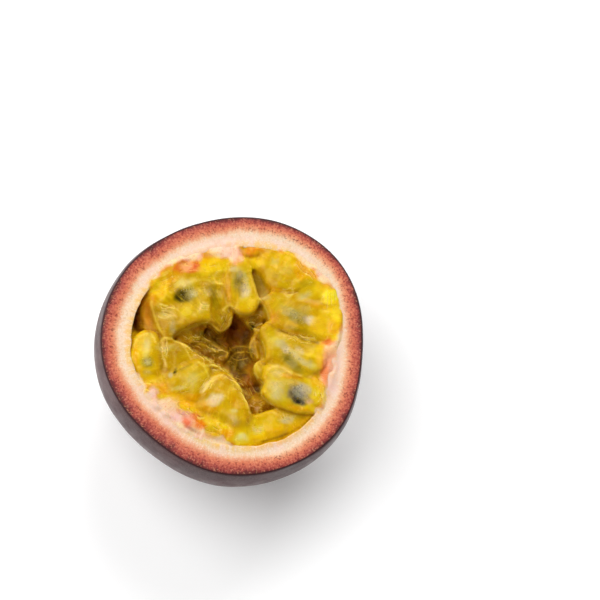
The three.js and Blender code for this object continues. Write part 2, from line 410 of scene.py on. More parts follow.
# ------------------------------------------------------------------ material helpers
class Tree:
    """A short way to write node trees."""

    def __init__(self, name):
        self.material = bpy.data.materials.new(name)
        self.material.use_nodes = True
        self.nodes, self.links = self.material.node_tree.nodes, self.material.node_tree.links
        self.nodes.clear()
        self.out = self.add("ShaderNodeOutputMaterial")

    def add(self, kind, **settings):
        n = self.nodes.new(kind)
        for k, v in settings.items():
            setattr(n, k, v)
        return n

    def put(self, socket, value):
        if isinstance(value, bpy.types.NodeSocket):
            self.links.new(value, socket)
        elif isinstance(value, (tuple, list)) and len(value) == 3 and socket.type == "RGBA":
            socket.default_value = (*value, 1)
        else:
            socket.default_value = value

    def number(self, name):
        return self.add("ShaderNodeAttribute", attribute_name=name).outputs["Fac"]

    def colour(self, name):
        return self.add("ShaderNodeAttribute", attribute_name=name).outputs["Color"]

    def place(self, scale=1.0):
        """Object coordinates in millimetres, times scale."""
        c = self.add("ShaderNodeTexCoord")
        m = self.add("ShaderNodeMapping")
        s = 1000.0 * scale
        m.inputs["Scale"].default_value = (s, s, s) if np.isscalar(s) else s
        self.links.new(c.outputs["Object"], m.inputs["Vector"])
        return m.outputs["Vector"]

    def noise(self, size, detail=2.0, rough=0.5, vector=None, distortion=0.0):
        n = self.add("ShaderNodeTexNoise")
        self.links.new(vector or self.place(), n.inputs["Vector"])
        n.inputs["Scale"].default_value = 1.0 / size
        n.inputs["Detail"].default_value = detail
        n.inputs["Roughness"].default_value = rough
        n.inputs["Distortion"].default_value = distortion
        return n.outputs["Fac"]

    def cells(self, size, feature="F1", vector=None, output="Distance"):
        n = self.add("ShaderNodeTexVoronoi", feature=feature)
        self.links.new(vector or self.place(), n.inputs["Vector"])
        n.inputs["Scale"].default_value = 1.0 / size
        return n.outputs[output]

    def ramp(self, value, *stops):
        """stops are (position, colour)."""
        n = self.add("ShaderNodeValToRGB")
        self.put(n.inputs["Fac"], value)
        e = n.color_ramp.elements
        while len(e) < len(stops):
            e.new(0.5)
        for item, (pos, col) in zip(e, stops):
            item.position = pos
            item.color = (*col, 1) if len(col) == 3 else col
        return n.outputs["Color"]

    def map(self, value, a, b, c=0.0, d=1.0, kind="SMOOTHSTEP"):
        n = self.add("ShaderNodeMapRange", interpolation_type=kind)
        self.put(n.inputs["Value"], value)
        for name, v in (("From Min", a), ("From Max", b), ("To Min", c), ("To Max", d)):
            self.put(n.inputs[name], v)
        return n.outputs["Result"]

    def math(self, how, a, b=0.0, clamp=False):
        n = self.add("ShaderNodeMath", operation=how, use_clamp=clamp)
        self.put(n.inputs[0], a)
        self.put(n.inputs[1], b)
        return n.outputs[0]

    def mixed(self, fac, a, b, how="MIX"):
        n = self.add("ShaderNodeMix", data_type="RGBA", blend_type=how)
        self.put(n.inputs[0], fac)
        self.put(n.inputs[6], a)
        self.put(n.inputs[7], b)
        return n.outputs[2]

    def bump(self, height, distance, strength=1.0, under=None):
        n = self.add("ShaderNodeBump")
        self.put(n.inputs["Height"], height)
        n.inputs["Distance"].default_value = distance * MM
        n.inputs["Strength"].default_value = strength
        if under is not None:
            self.links.new(under, n.inputs["Normal"])
        return n.outputs["Normal"]

    def principled(self, **values):
        n = self.add("ShaderNodeBsdfPrincipled")
        for k, v in values.items():
            self.put(n.inputs[k.replace("_", " ")], v)
        self.links.new(n.outputs[0], self.out.inputs["Surface"])
        return n


# ------------------------------------------------------------------ the shell
rough = Noise(11)
fine = Noise(12)


def shell_piece():
    sides = 600
    angle = np.linspace(0, 2 * math.pi, sides, endpoint=False)
    rows = []   # each row: radius, z, ring (mm in from the skin over the cut), zone (0 skin, 1 cut, 2 wall)

    def row(r, z, ring, zone):
        rows.append((r, z * np.ones(sides), ring * np.ones(sides), zone * np.ones(sides)))

    # outside, from the resting spot up to the cut
    bottom = REST_Z - CUT_HEIGHT
    for r in np.linspace(0.7, REST_SPOT_RADIUS, 7, endpoint=False):
        row(r * np.ones(sides), bottom, 0, 0)
    a0, a1 = math.asin(REST_Z / POLE_RADIUS), math.asin((CUT_HEIGHT - 0.28) / POLE_RADIUS)
    for a in np.linspace(a0, a1, 66):
        z = POLE_RADIUS * math.sin(a) - CUT_HEIGHT
        row(outer_radius(angle, z), z, 0, 0)
    # the skin's edge, a little rounded
    edge = outer_radius(angle, 0)
    for t in np.linspace(0.15, 1, 5):
        c = t * math.pi / 2
        row(edge - 0.26 * (1 - math.cos(c)), -0.26 * (1 - math.sin(c)), 0.26 * t * t, 1)
    # across the cut
    inner = inner_radius(angle, 0)
    steps = 36
    for k in range(1, steps + 1):
        t = k / steps
        r = (edge - 0.26) * (1 - t) + inner * t
        rows.append((r, np.zeros(sides), edge - r, np.ones(sides)))
    # down the wall
    b0, b1 = math.asin((CUT_HEIGHT - 0.25) / CAVITY_DEPTH), math.asin(-0.985)
    for b in np.linspace(b0, b1, 30):
        z = CAVITY_DEPTH * math.sin(b) - CUT_HEIGHT
        row(inner_radius(angle, z), z, 5.6, 2)
    r, z, ring, zone = (np.stack([x[k] for x in rows]) for k in range(4))
    n = len(rows)
    a = np.broadcast_to(angle, (n, sides))
    p = np.stack([r * np.cos(a), r * np.sin(a), z], -1)

    # unevenness: the skin swells and dips a little, the cut is not quite flat, its inner edge is ragged
    skin = (zone < 0.5)
    flat = (z <= bottom + 1e-6)
    swell = 0.10 * rough.at(p, 9.0) + 0.05 * rough.at(p + 50, 4.0)
    cutwards = smooth(-1.6, -0.2, z) * skin
    out = np.stack([np.cos(a), np.sin(a), 0 * a], -1)
    fade = np.where(skin & ~flat, smooth(bottom, bottom + 1.5, z) * (1 - 0.6 * cutwards), 0)
    p = p + out * (swell * fade)[..., None]
    on_cut = (np.abs(zone - 1) < 0.5)
    t = np.clip(ring / 5.6, 0, 1)
    dish = -0.20 * smooth(0.25, 0.75, t) + 0.10 * smooth(0.8, 1.0, t)
    grain = 0.035 * fine.many(p * [1, 1, 0] + 3, 0.8, 2) * smooth(0.02, 0.1, t)
    p[..., 2] += np.where(on_cut, dish + grain + 0.05 * rough.at(p, 3.0) * smooth(0, 0.2, t), 0)
    near_inner = smooth(0.72, 1.0, t) * on_cut + (zone > 1.5) * smooth(-9, -1, z)
    torn = 0.30 * rough.many(p * [1, 1, 0.5] + 9, 2.2, 3)
    p = p + out * (torn * near_inner)[..., None]
    wall = zone > 1.5
    p = p + out * (np.where(wall, 0.22 * rough.many(p + 70, 3.0, 2), 0))[..., None]
    # the ridge tissue stands up a little over the cut at its inner edge
    where = ridges(a, 17.0, 1.0)
    p[..., 2] += np.where(on_cut, 0.25 * smooth(0.75, 1.0, t) * where * (0.6 + rough.at(p, 1.6)), 0)
    p[..., 2] -= np.where(wall & (z > -0.6), 0.0, 0)

    verts = p.reshape(-1, 3)
    quads = []
    k = np.arange(sides)
    for i in range(n - 1):
        lo = i * sides
        quads.append(np.stack([lo + k, lo + (k + 1) % sides, lo + sides + (k + 1) % sides, lo + sides + k], 1))
    quads = np.concatenate(quads)
    ring_v, zone_v = ring.reshape(-1), zone.reshape(-1)
    # close both ends with a centre point each
    c0, c1 = len(verts), len(verts) + 1
    ends = np.array([[0, 0, bottom], [0, 0, -CAVITY_DEPTH - CUT_HEIGHT]])
    verts = np.concatenate([verts, ends])
    ring_v, zone_v = np.append(ring_v, [0, 5.6]), np.append(zone_v, [0, 2])
    caps = []
    last = (n - 1) * sides
    for i in range(0, sides, 2):
        j, m = (i + 1) % sides, (i + 2) % sides
        caps.append([c0, m, j, i])
        caps.append([c1, last + i, last + j, last + m])
    quads = np.concatenate([quads, np.array(caps)])
    around = np.arctan2(verts[:, 1], verts[:, 0])
    band = (0.35 * np.cos(around - math.radians(60)) + 0.3 * np.cos(3 * (around - math.radians(60)))) * smooth(0.4, 2.0, ring_v)
    ob = new_mesh("rind", verts, quads, {
        "ring": ring_v,
        "band": ring_v + band,
        "zone": zone_v,
        "ridge": ridges(around, 20.0, 1.0),
        "depth": -verts[:, 2],
    })
    add_spokes(ob, verts, ring_v)
    return ob


def shell_material():
    t = Tree("rind")
    ring, zone, ridge, depth = (t.number(n) for n in ("ring", "zone", "ridge", "depth"))
    fleck = t.noise(0.35, 3, 0.6)
    blotch = t.noise(3.0, 3, 0.55)
    wide = t.noise(14.0, 2, 0.5)

    # the skin: dark purple brown with paler freckles and greyish bloom
    skin = t.ramp(t.map(wide, 0.3, 0.7), (0.0, rgb(60, 33, 34)), (0.5, rgb(73, 42, 43)), (1.0, rgb(84, 52, 52)))
    skin = t.mixed(t.map(blotch, 0.35, 0.75, 0, 0.5), skin, rgb(62, 33, 38))
    freckle = t.map(t.cells(0.9), 0.05, 0.22, 1, 0)
    freckle = t.math("MULTIPLY", freckle, t.map(t.noise(2.2), 0.45, 0.65))
    skin = t.mixed(t.math("MULTIPLY", freckle, 0.4), skin, rgb(132, 98, 90))
    skin = t.mixed(t.map(fleck, 0.45, 0.7, 0, 0.45), skin, rgb(110, 78, 77))
    skin = t.mixed(t.map(fleck, 0.3, 0.45, 0.4, 0), skin, rgb(43, 23, 26))

    # the cut, from the skin inwards: maroon line, brick to coral band, feathered into cream
    spoke = t.add("ShaderNodeAttribute", attribute_name="spoke").outputs["Vector"]
    streak = t.noise(0.34, 4, 0.65, spoke)
    streak2 = t.noise(1.5, 3, 0.55, spoke)
    grain = t.noise(0.42, 3, 0.7)
    wander = t.math("MULTIPLY", t.math("SUBTRACT", streak, 0.5), 1.5)
    wander2 = t.math("MULTIPLY", t.math("SUBTRACT", streak2, 0.5), 1.3)
    wander3 = t.math("MULTIPLY", t.math("SUBTRACT", t.noise(9.0, 1, 0.5, spoke), 0.5), 1.6)
    at = t.math("ADD", t.math("ADD", t.math("ADD", t.number("band"), wander), wander2), wander3)
    cut = t.ramp(t.map(at, 0.0, 6.0, kind="LINEAR"),
                 (0.0, shown(72, 22, 24)), (0.08, shown(116, 42, 40)), (0.13, shown(162, 68, 60)),
                 (0.20, shown(190, 88, 70)), (0.30, shown(211, 108, 80)), (0.39, shown(226, 132, 94)),
                 (0.50, shown(237, 166, 124)), (0.57, shown(246, 198, 158)), (0.66, shown(248, 218, 185)),
                 (0.80, shown(248, 220, 186)), (0.93, shown(247, 206, 160)))
    cut = t.mixed(t.map(grain, 0.53, 0.64, 0, t.map(ring, 2.2, 3.4, 0.8, 0.16)), cut, shown(124, 38, 36))
    cut = t.mixed(t.map(grain, 0.47, 0.38, 0, t.map(ring, 2.2, 3.4, 0.32, 0.25)), cut, shown(250, 176, 130))
    tan = t.map(t.noise(0.7, 4, 0.6, spoke), 0.52, 0.7, 0, t.map(ring, 2.8, 3.8, 0.0, 0.35))
    cut = t.mixed(tan, cut, shown(240, 196, 150))
    pinks = t.map(t.noise(4.5, 2, 0.5, spoke), 0.45, 0.65, 0, t.map(ring, 3.0, 4.2, 0.0, 0.5))
    cut = t.mixed(pinks, cut, shown(248, 214, 202))
    stain = t.math("MULTIPLY", t.map(ring, 4.2, 5.6), t.map(t.noise(1.2, 4, 0.6, spoke), 0.35, 0.6))
    cut = t.mixed(t.math("MULTIPLY", stain, 0.8), cut, shown(248, 196, 84))
    cut = t.mixed(t.map(t.noise(0.9, 3, 0.6, spoke), 0.5, 0.75, 0, t.map(ring, 3.0, 4.4, 0.0, 0.4)), cut, shown(252, 236, 214))
    cells = t.noise(0.34, 3, 0.7)
    cut = t.mixed(t.map(cells, 0.54, 0.66, 0, t.map(ring, 2.6, 3.6, 0.0, 0.5)), cut, shown(255, 244, 226))
    cut = t.mixed(t.map(cells, 0.46, 0.36, 0, t.map(ring, 2.6, 3.6, 0.0, 0.45)), cut, shown(232, 184, 132))
    cut = t.mixed(t.map(ring, 0.16, 0.38, 1, 0), cut, shown(58, 14, 18))
    blush = t.math("MULTIPLY", t.map(ring, 3.2, 5.0), t.map(ridge, 0.1, 0.8))
    cut = t.mixed(t.math("MULTIPLY", blush, 0.55), cut, shown(250, 204, 192))

    # the wall of the cavity: cream at the cut, wet and orange deeper down
    wall = t.mixed(t.map(depth, 0.2, 2.4), shown(250, 214, 170), shown(232, 160, 60))
    wall = t.mixed(t.map(depth, 2.0, 8.0), wall, shown(176, 98, 24))
    wall = t.mixed(t.map(blotch, 0.4, 0.7, 0, 0.4), wall, shown(236, 170, 96))

    colour = t.mixed(t.map(zone, 0.45, 0.55), skin, cut)
    colour = t.mixed(t.map(zone, 1.45, 1.55), colour, wall)

    pores = t.bump(t.cells(0.55, "SMOOTH_F1"), 0.05, 0.25)
    leather = t.bump(t.noise(1.3, 4, 0.6), 0.10, 0.35, pores)
    fibres = t.bump(t.noise(0.3, 4, 0.7), 0.06, 0.5)
    normal = t.add("ShaderNodeMix", data_type="VECTOR")
    t.put(normal.inputs[0], t.map(zone, 0.45, 0.55))
    t.put(normal.inputs[4], leather)
    t.put(normal.inputs[5], fibres)
    gloss = t.mixed(t.map(zone, 0.45, 0.55), (0.40, 0.40, 0.40), (0.55, 0.55, 0.55))
    gloss = t.mixed(t.map(zone, 1.45, 1.55), gloss, (0.3, 0.3, 0.3))
    gloss = t.math("ADD", gloss, t.map(blotch, 0.3, 0.7, -0.05, 0.08))
    t.principled(
        Base_Color=colour, Roughness=gloss, Normal=normal.outputs[1],
        Subsurface_Weight=t.map(zone, 0.45, 0.55, 0.0, 0.35), Subsurface_Radius=(1.0, 0.45, 0.25),
        Subsurface_Scale=0.0012, IOR=1.33,
    )
    return t.material


# ------------------------------------------------------------------ the pulp
warp_a, warp_b, fine_a = Noise(21), Noise(22), Noise(23)


def to_picture(p):
    """The picture points of points in the fruit's frame."""
    g = off_axis()
    q = p[..., :2] + math.tan(TILT) * (-p[..., 2])[..., None] * g
    q = q - (1 - math.cos(TILT)) * (q @ g)[..., None] * g
    return np.stack([q[..., 0] / PX + FACE_PX[0], -q[..., 1] / PX + FACE_PX[1]], -1)


def rounded(points, steps=8):
    """A closed outline through given points, without corners."""
    p = np.asarray(points, float)
    a, b, c, d = np.roll(p, 1, 0), p, np.roll(p, -1, 0), np.roll(p, -2, 0)
    t = np.linspace(0, 1, steps, endpoint=False)[None, :, None]
    a, b, c, d = (k[:, None] for k in (a, b, c, d))
    out = 0.5 * (2 * b + (c - a) * t + (2 * a - 5 * b + 4 * c - d) * t**2 + (3 * b - a - 3 * c + d) * t**3)
    return out.reshape(-1, 2)


def to_segments(points, x, y):
    """The distance of grid points to a line of points."""
    best = np.full(x.shape, 1e9)
    for (x0, y0), (x1, y1) in zip(points[:-1], points[1:]):
        ex, ey = x1 - x0, y1 - y0
        t = np.clip(((x - x0) * ex + (y - y0) * ey) / max(ex * ex + ey * ey, 1e-9), 0, 1)
        best = np.minimum(best, (x - x0 - t * ex) ** 2 + (y - y0 - t * ey) ** 2)
    return np.sqrt(best)


class Plan:
    """An outline seen from above, kept as distances on a small flat grid, negative inside."""
    STEP = 0.2

    def __init__(self, picture, depth, grow=0.0):
        pts = rounded(np.array([on_face(px, py, depth) for px, py in picture]))
        self.low = pts.min(0) - 3.2
        self.n = np.ceil((pts.max(0) + 3.2 - self.low) / self.STEP).astype(int) + 1
        x = self.low[0] + self.STEP * np.arange(self.n[0])[:, None] + np.zeros(self.n)
        y = self.low[1] + self.STEP * np.arange(self.n[1])[None, :] + np.zeros(self.n)
        ring = np.concatenate([pts, pts[:1]])
        d = to_segments(ring, x, y)
        inside = np.zeros(x.shape, bool)
        for (x0, y0), (x1, y1) in zip(ring[:-1], ring[1:]):
            cross = ((y0 > y) != (y1 > y))
            at = x0 + (y - y0) / np.where(y1 == y0, 1e-9, y1 - y0) * (x1 - x0)
            inside ^= cross & (x < at)
        d = np.where(inside, -d, d)
        for _ in range(3):      # take the roof lines out of the inside
            e = np.pad(d, 1, mode="edge")
            d = (e[1:-1, 1:-1] * 2 + e[:-2, 1:-1] + e[2:, 1:-1] + e[1:-1, :-2] + e[1:-1, 2:]) / 6
        self.d = (d - grow).astype(np.float32)
        self.middle = pts.mean(0)
        self.high = self.low + self.STEP * (self.n - 1)

    def at(self, x, y):
        u = np.clip((x - self.low[0]) / self.STEP, 0, self.n[0] - 1.001)
        v = np.clip((y - self.low[1]) / self.STEP, 0, self.n[1] - 1.001)
        i, j = u.astype(int), v.astype(int)
        f, g = u - i, v - j
        d = self.d
        return ((d[i, j] * (1 - f) + d[i + 1, j] * f) * (1 - g) + (d[i, j + 1] * (1 - f) + d[i + 1, j + 1] * f) * g)


# Juice sacs and lumps of flesh at the cut, traced. out: outline as picture points; top: how far
# the highest part lies under the cut (mm); low: how far down it reaches; r: how round its edge is;
# k: how softly it joins what is there already; hue: 0 lemon, 1 yellow, 2 gold, 3 amber, 4 olive brown.
# light: how much lighter or darker a sac's colour is painted, partly its own tone and partly painted light and shade
# where it shows lit or shaded.
SACS = [
    # --- flesh between the sacs and the wall
    dict(name="left band", out=[(141, 292), (148, 285), (157, 288), (160, 302), (162, 318), (168, 334), (160, 343),
         (150, 337), (143, 326), (139, 308)], top=1.3, low=8, r=3.0, k=0.8, hue=2.9, light=1.25),
    dict(name="upper left flesh", out=[(150, 290), (153, 278), (163, 269), (178, 264), (192, 268), (202, 276),
         (198, 286), (184, 284), (172, 290), (162, 300), (153, 300)], top=0.3, low=7, r=1.6, k=1.2, hue=0.8),
    dict(name="top flesh", out=[(186, 268), (196, 260), (205, 252), (216, 248), (230, 250), (238, 258), (232, 272),
         (228, 284), (214, 288), (200, 285), (190, 280)], top=0.3, low=7, r=1.5, k=1.2, hue=0.8, light=1.2),
    dict(name="top band", out=[(236, 260), (246, 256), (258, 252), (268, 254), (272, 264), (264, 274), (252, 274),
         (242, 271)], top=0.5, low=7, r=1.3, k=0.8, hue=0.7, light=1.22),
    dict(name="upper right flesh", out=[(262, 249), (280, 246), (296, 251), (308, 261), (320, 273), (329, 285),
         (318, 291), (304, 281), (296, 269), (284, 259), (268, 257)], top=0.7, low=7, r=1.3, k=0.8, hue=1.1, light=0.97),
    dict(name="right flesh", out=[(300, 268), (312, 272), (324, 282), (336, 290), (341, 306), (341, 324), (338, 342),
         (328, 350), (318, 344), (316, 326), (318, 308), (308, 296), (300, 284)], top=0.2, low=8, r=1.5, k=1.2, hue=0.4, light=1.2),
    dict(name="right wall flesh", out=[(322, 344), (332, 346), (336, 360), (334, 378), (328, 396), (318, 410),
         (310, 408), (308, 394), (312, 378), (318, 362)], top=0.5, low=8, r=1.4, k=1.2, hue=1.5, light=0.98),
    dict(name="lower left flesh", out=[(158, 376), (172, 380), (186, 392), (204, 402), (222, 414), (238, 424),
         (240, 438), (226, 441), (208, 435), (192, 426), (176, 412), (162, 399), (156, 388)], top=0.4, low=8, r=1.5,
         k=1.2, hue=1.1, light=1.07),
    # --- upper left mass
    dict(name="A2", out=[(151, 303), (153, 312), (156, 321), (160, 331), (165, 337), (171, 339), (178, 334), (183, 326),
         (183, 314), (178, 304), (170, 297), (158, 295)], top=-0.1, low=7, r=1.7, k=1.2, hue=1.4, light=0.86),
    dict(name="A1", out=[(171, 284), (182, 277), (195, 279), (206, 284), (212, 293), (213, 304), (211, 315), (209, 323),
         (199, 324), (189, 328), (180, 331), (175, 325), (171, 312), (165, 300), (166, 290)], top=-0.6, low=7, r=2.0,
         k=1.2, hue=0.9, light=0.93),
    dict(name="B", out=[(204, 282), (214, 279), (224, 283), (229, 291), (230, 301), (227, 307), (224, 313), (223, 321),
         (219, 329), (213, 326), (207, 322), (204, 310), (202, 295)], top=0.1, low=7, r=1.8, k=0.8, hue=1.9, light=0.79),
    # --- top centre
    dict(name="C", out=[(230, 265), (238, 261), (245, 263), (249, 270), (252, 280), (255, 290), (258, 300), (258, 307),
         (253, 311), (245, 313), (238, 312), (232, 308), (227, 302), (226, 290), (227, 276)], top=-0.8, low=7.5, r=1.6,
         k=0.45, hue=0.9, light=1.03),
    # --- top right
    dict(name="E", out=[(263, 252), (275, 249), (287, 250), (295, 256), (301, 266), (304, 278), (301, 288), (294, 293),
         (281, 292), (271, 289), (265, 281), (260, 270), (259, 260)], top=-0.4, low=7, r=2.1, k=0.8, hue=1.0),
    dict(name="F", out=[(296, 283), (305, 277), (316, 278), (324, 285), (328, 295), (325, 305), (315, 309), (303, 307),
         (296, 300), (293, 291)], top=-0.1, low=7, r=1.9, k=1.2, hue=0.9),
    dict(name="yellow lump", out=[(321, 287), (330, 285), (337, 293), (338, 304), (331, 309), (323, 306), (320, 297)],
         top=0.1, low=5, r=1.2, k=0.8, hue=0.4, light=1.25),
    # --- right
    dict(name="G", out=[(259, 297), (266, 293), (279, 292), (293, 295), (305, 301), (317, 304), (326, 311), (329, 323),
         (328, 335), (319, 341), (304, 338), (290, 333), (278, 329), (271, 323), (266, 313), (262, 304)], top=-0.6,
         low=7.5, r=2.0, k=0.8, hue=1.2, light=1.03),
    dict(name="H", out=[(262, 326), (270, 322), (282, 331), (296, 335), (310, 339), (322, 344), (329, 352), (327, 364),
         (320, 372), (310, 376), (298, 375), (286, 372), (276, 367), (268, 359), (264, 346), (261, 335)], top=-0.7,
         low=7.5, r=2.0, k=0.45, hue=0.9, light=0.95),
    dict(name="H flap", out=[(255, 366), (260, 361), (269, 359), (277, 365), (274, 374), (267, 381), (262, 382),
         (258, 378), (255, 372)], top=1.0, low=6, r=0.8, k=0.45, hue=1.5, light=0.8),
    dict(name="I", out=[(264, 381), (268, 370), (274, 366), (283, 367), (292, 374), (304, 377), (315, 380), (321, 388),
         (322, 398), (318, 407), (310, 414), (298, 412), (284, 409), (273, 405), (266, 400), (261, 391)], top=-0.9,
         low=7.5, r=1.9, k=0.45, hue=0.4),
    # --- bottom, along the wall
    dict(name="J1", out=[(276, 411), (290, 409), (303, 412), (315, 410), (309, 419), (297, 428), (284, 434), (274, 433),
         (270, 421)], top=0.4, low=7, r=1.6, k=0.8, hue=1.1),
    dict(name="J2", out=[(233, 445), (231, 436), (238, 425), (250, 416), (264, 411), (276, 413), (282, 423), (278, 434),
         (264, 440), (248, 445)], top=-0.1, low=7, r=1.7, k=1.2, hue=0.7, light=1.05),
    # --- lower left
    dict(name="N2", out=[(204, 357), (213, 361), (222, 366), (231, 373), (239, 383), (247, 394), (242, 400), (232, 392),
         (222, 388), (210, 384), (205, 372)], top=0.9, low=7, r=1.2, k=0.8, hue=1.9, light=0.62),
    dict(name="N", out=[(201, 394), (207, 383), (213, 377), (222, 376), (230, 379), (236, 385), (241, 393), (246, 402),
         (250, 413), (248, 421), (240, 425), (228, 423), (214, 417), (204, 411), (199, 403)], top=-0.7, low=7.5, r=2.1,
         k=0.8, hue=1.4),
    dict(name="L", out=[(160, 346), (163, 340), (170, 337), (180, 341), (190, 347), (197, 353), (203, 357), (207, 363),
         (202, 368), (192, 366), (184, 368), (178, 374), (171, 374), (165, 367), (160, 357)], top=0.2, low=7, r=1.5,
         k=0.8, hue=1.3, light=0.86),
    dict(name="M", out=[(176, 373), (183, 367), (190, 362), (199, 361), (206, 367), (210, 376), (209, 387), (204, 395),
         (196, 400), (186, 397), (178, 392), (172, 385)], top=-0.6, low=7, r=2.0, k=0.45, hue=0.8, light=0.95),
    dict(name="K2", out=[(138, 372), (146, 375), (155, 377), (161, 376), (165, 386), (163, 397), (157, 399), (151, 395),
         (147, 391), (142, 383)], top=0.5, low=6, r=1.2, k=0.8, hue=1.3),
    dict(name="K", out=[(134, 343), (139, 336), (146, 333), (152, 334), (156, 341), (159, 351), (161, 363), (158, 374),
         (150, 379), (142, 375), (136, 367), (133, 355)], top=-0.3, low=7, r=1.4, k=0.45, hue=0.8),
    dict(name="O1", out=[(160, 374), (169, 376), (177, 384), (181, 394), (176, 402), (167, 400), (161, 394),
         (158, 384)], top=0.1, low=6, r=1.2, k=1.2, hue=1.9, light=1.1),
    dict(name="O2", out=[(178, 395), (190, 398), (202, 402), (203, 411), (195, 415), (184, 412), (176, 405)], top=-0.1,
         low=6, r=1.3, k=1.2, hue=1.5, light=1.45),
]

# Half hidden ones that show in the hollow, and the flaps that hang over its edge.
LOW_SACS = [
    dict(name="sheet left", out=[(172, 339), (182, 330), (194, 325), (208, 324), (218, 329), (229, 332), (231, 345),
         (228, 356), (240, 372), (254, 378), (264, 388), (270, 404), (258, 414), (246, 402), (238, 384), (224, 370),
         (206, 360), (188, 350)], top=6.6, low=12, r=2.4, k=2.5, hue=3.4),
    dict(name="sheet right", out=[(244, 314), (256, 306), (266, 312), (270, 326), (266, 340), (270, 356), (262, 372),
         (252, 374), (250, 356), (250, 340), (244, 326)], top=6.2, low=12, r=2.0, k=2.5, hue=3.4),
    dict(name="well", out=[(224, 308), (240, 308), (256, 314), (260, 340), (250, 356), (228, 354), (222, 334)], top=7.6,
         low=15, r=2.0, k=2.5, hue=3.6),
    dict(name="curl", out=[(225, 308), (229, 306), (232, 310), (232, 318), (230, 325), (225, 330), (220, 331),
         (217, 327), (221, 317)], top=0.9, low=5, r=0.7, k=0.9, hue=2.0),
    dict(name="H2", out=[(252, 341), (256, 335), (261, 337), (264, 345), (266, 353), (265, 360), (259, 359), (254, 354),
         (251, 347)], top=2.4, low=8, r=0.8, k=0.8, hue=2.8),
    dict(name="olive flap", out=[(246, 317), (250, 313), (258, 307), (263, 302), (267, 310), (270, 317), (266, 324),
         (261, 332), (257, 334), (252, 328), (247, 322)], top=2.4, low=6, r=0.6, k=0.9, hue=3.2, light=1.2),
    dict(name="olive gap", out=[(250, 270), (260, 268), (268, 280), (274, 290), (266, 299), (258, 302), (253, 288)],
         top=1.5, low=8, r=1.4, k=0.6, hue=3.2, dome=0.1),
    dict(name="recess", out=[(234, 236), (250, 235), (266, 236), (284, 240), (280, 249), (269, 251), (257, 255), (246, 256),
         (238, 252)], top=0.05, low=4, r=0.8, k=0.5, hue=2.4, dome=0.0),
    dict(name="Q0", out=[(169, 339), (179, 332), (189, 328), (198, 327), (205, 331), (202, 339), (191, 345),
         (180, 345)], top=2.3, low=10, r=1.8, k=2.0, hue=2.9),
    dict(name="Q1", out=[(184, 340), (196, 336), (208, 340), (220, 347), (229, 356), (222, 365), (209, 360),
         (198, 354), (189, 348)], top=3.8, low=9, r=1.8, k=2.2, hue=3.1),
    dict(name="Q2", out=[(195, 333), (206, 328), (219, 331), (228, 340), (227, 350), (216, 352), (205, 347),
         (197, 340)], top=5.9, low=12, r=1.8, k=2.2, hue=3.8),
    dict(name="Q3", out=[(222, 356), (229, 348), (242, 344), (255, 349), (258, 361), (256, 376), (244, 384),
         (230, 374)], top=7.4, low=15, r=2.4, k=2.2, hue=3.9),
    dict(name="Q4", out=[(236, 372), (250, 376), (262, 386), (268, 398), (264, 411), (252, 414), (244, 403),
         (238, 388)], top=5.2, low=11, r=1.8, k=2.2, hue=3.0),
    dict(name="Q6", out=[(249, 401), (257, 397), (266, 399), (275, 406), (266, 412), (256, 415), (248, 413)], top=2.8,
         low=9, r=1.5, k=1.8, hue=2.3),
    dict(name="Q5", out=[(212, 358), (224, 362), (236, 372), (244, 384), (234, 386), (222, 375), (213, 368)], top=4.9,
         low=10, r=1.6, k=2.2, hue=3.0),
]

# The open hollow between the sacs, the narrow gap at the top and the recess under the rind there: outline,
# depth of its edge, depth of its floor, how round its edge is.
HOLLOWS = [
    ([(222, 331), (228, 327), (231, 319), (232, 311), (229, 308), (232, 308), (238, 314), (246, 316), (253, 313),
      (258, 307), (260, 303), (264, 308), (269, 317), (266, 323), (261, 328), (260, 335), (264, 344), (266, 353),
      (265, 359), (259, 361), (255, 366), (255, 372), (259, 379), (264, 383), (261, 391), (263, 397), (270, 404),
      (275, 408), (266, 411), (256, 414), (250, 413), (247, 402), (243, 391), (237, 381), (230, 373), (222, 367),
      (213, 361), (205, 356), (197, 352), (189, 347), (181, 342), (172, 339), (180, 332), (189, 328), (199, 324),
      (208, 323), (215, 327)], 1.0, 30.0, 0.9),
    ([(251, 271), (255, 270), (261, 276), (266, 284), (271, 291), (265, 296), (259, 298), (255, 287)], 0.8, 6.0, 0.4),
    ([(237, 240), (250, 239), (264, 241), (276, 245), (270, 250), (262, 252), (252, 256), (246, 256), (241, 253)],
     0.25, 0.5, 0.5),
]

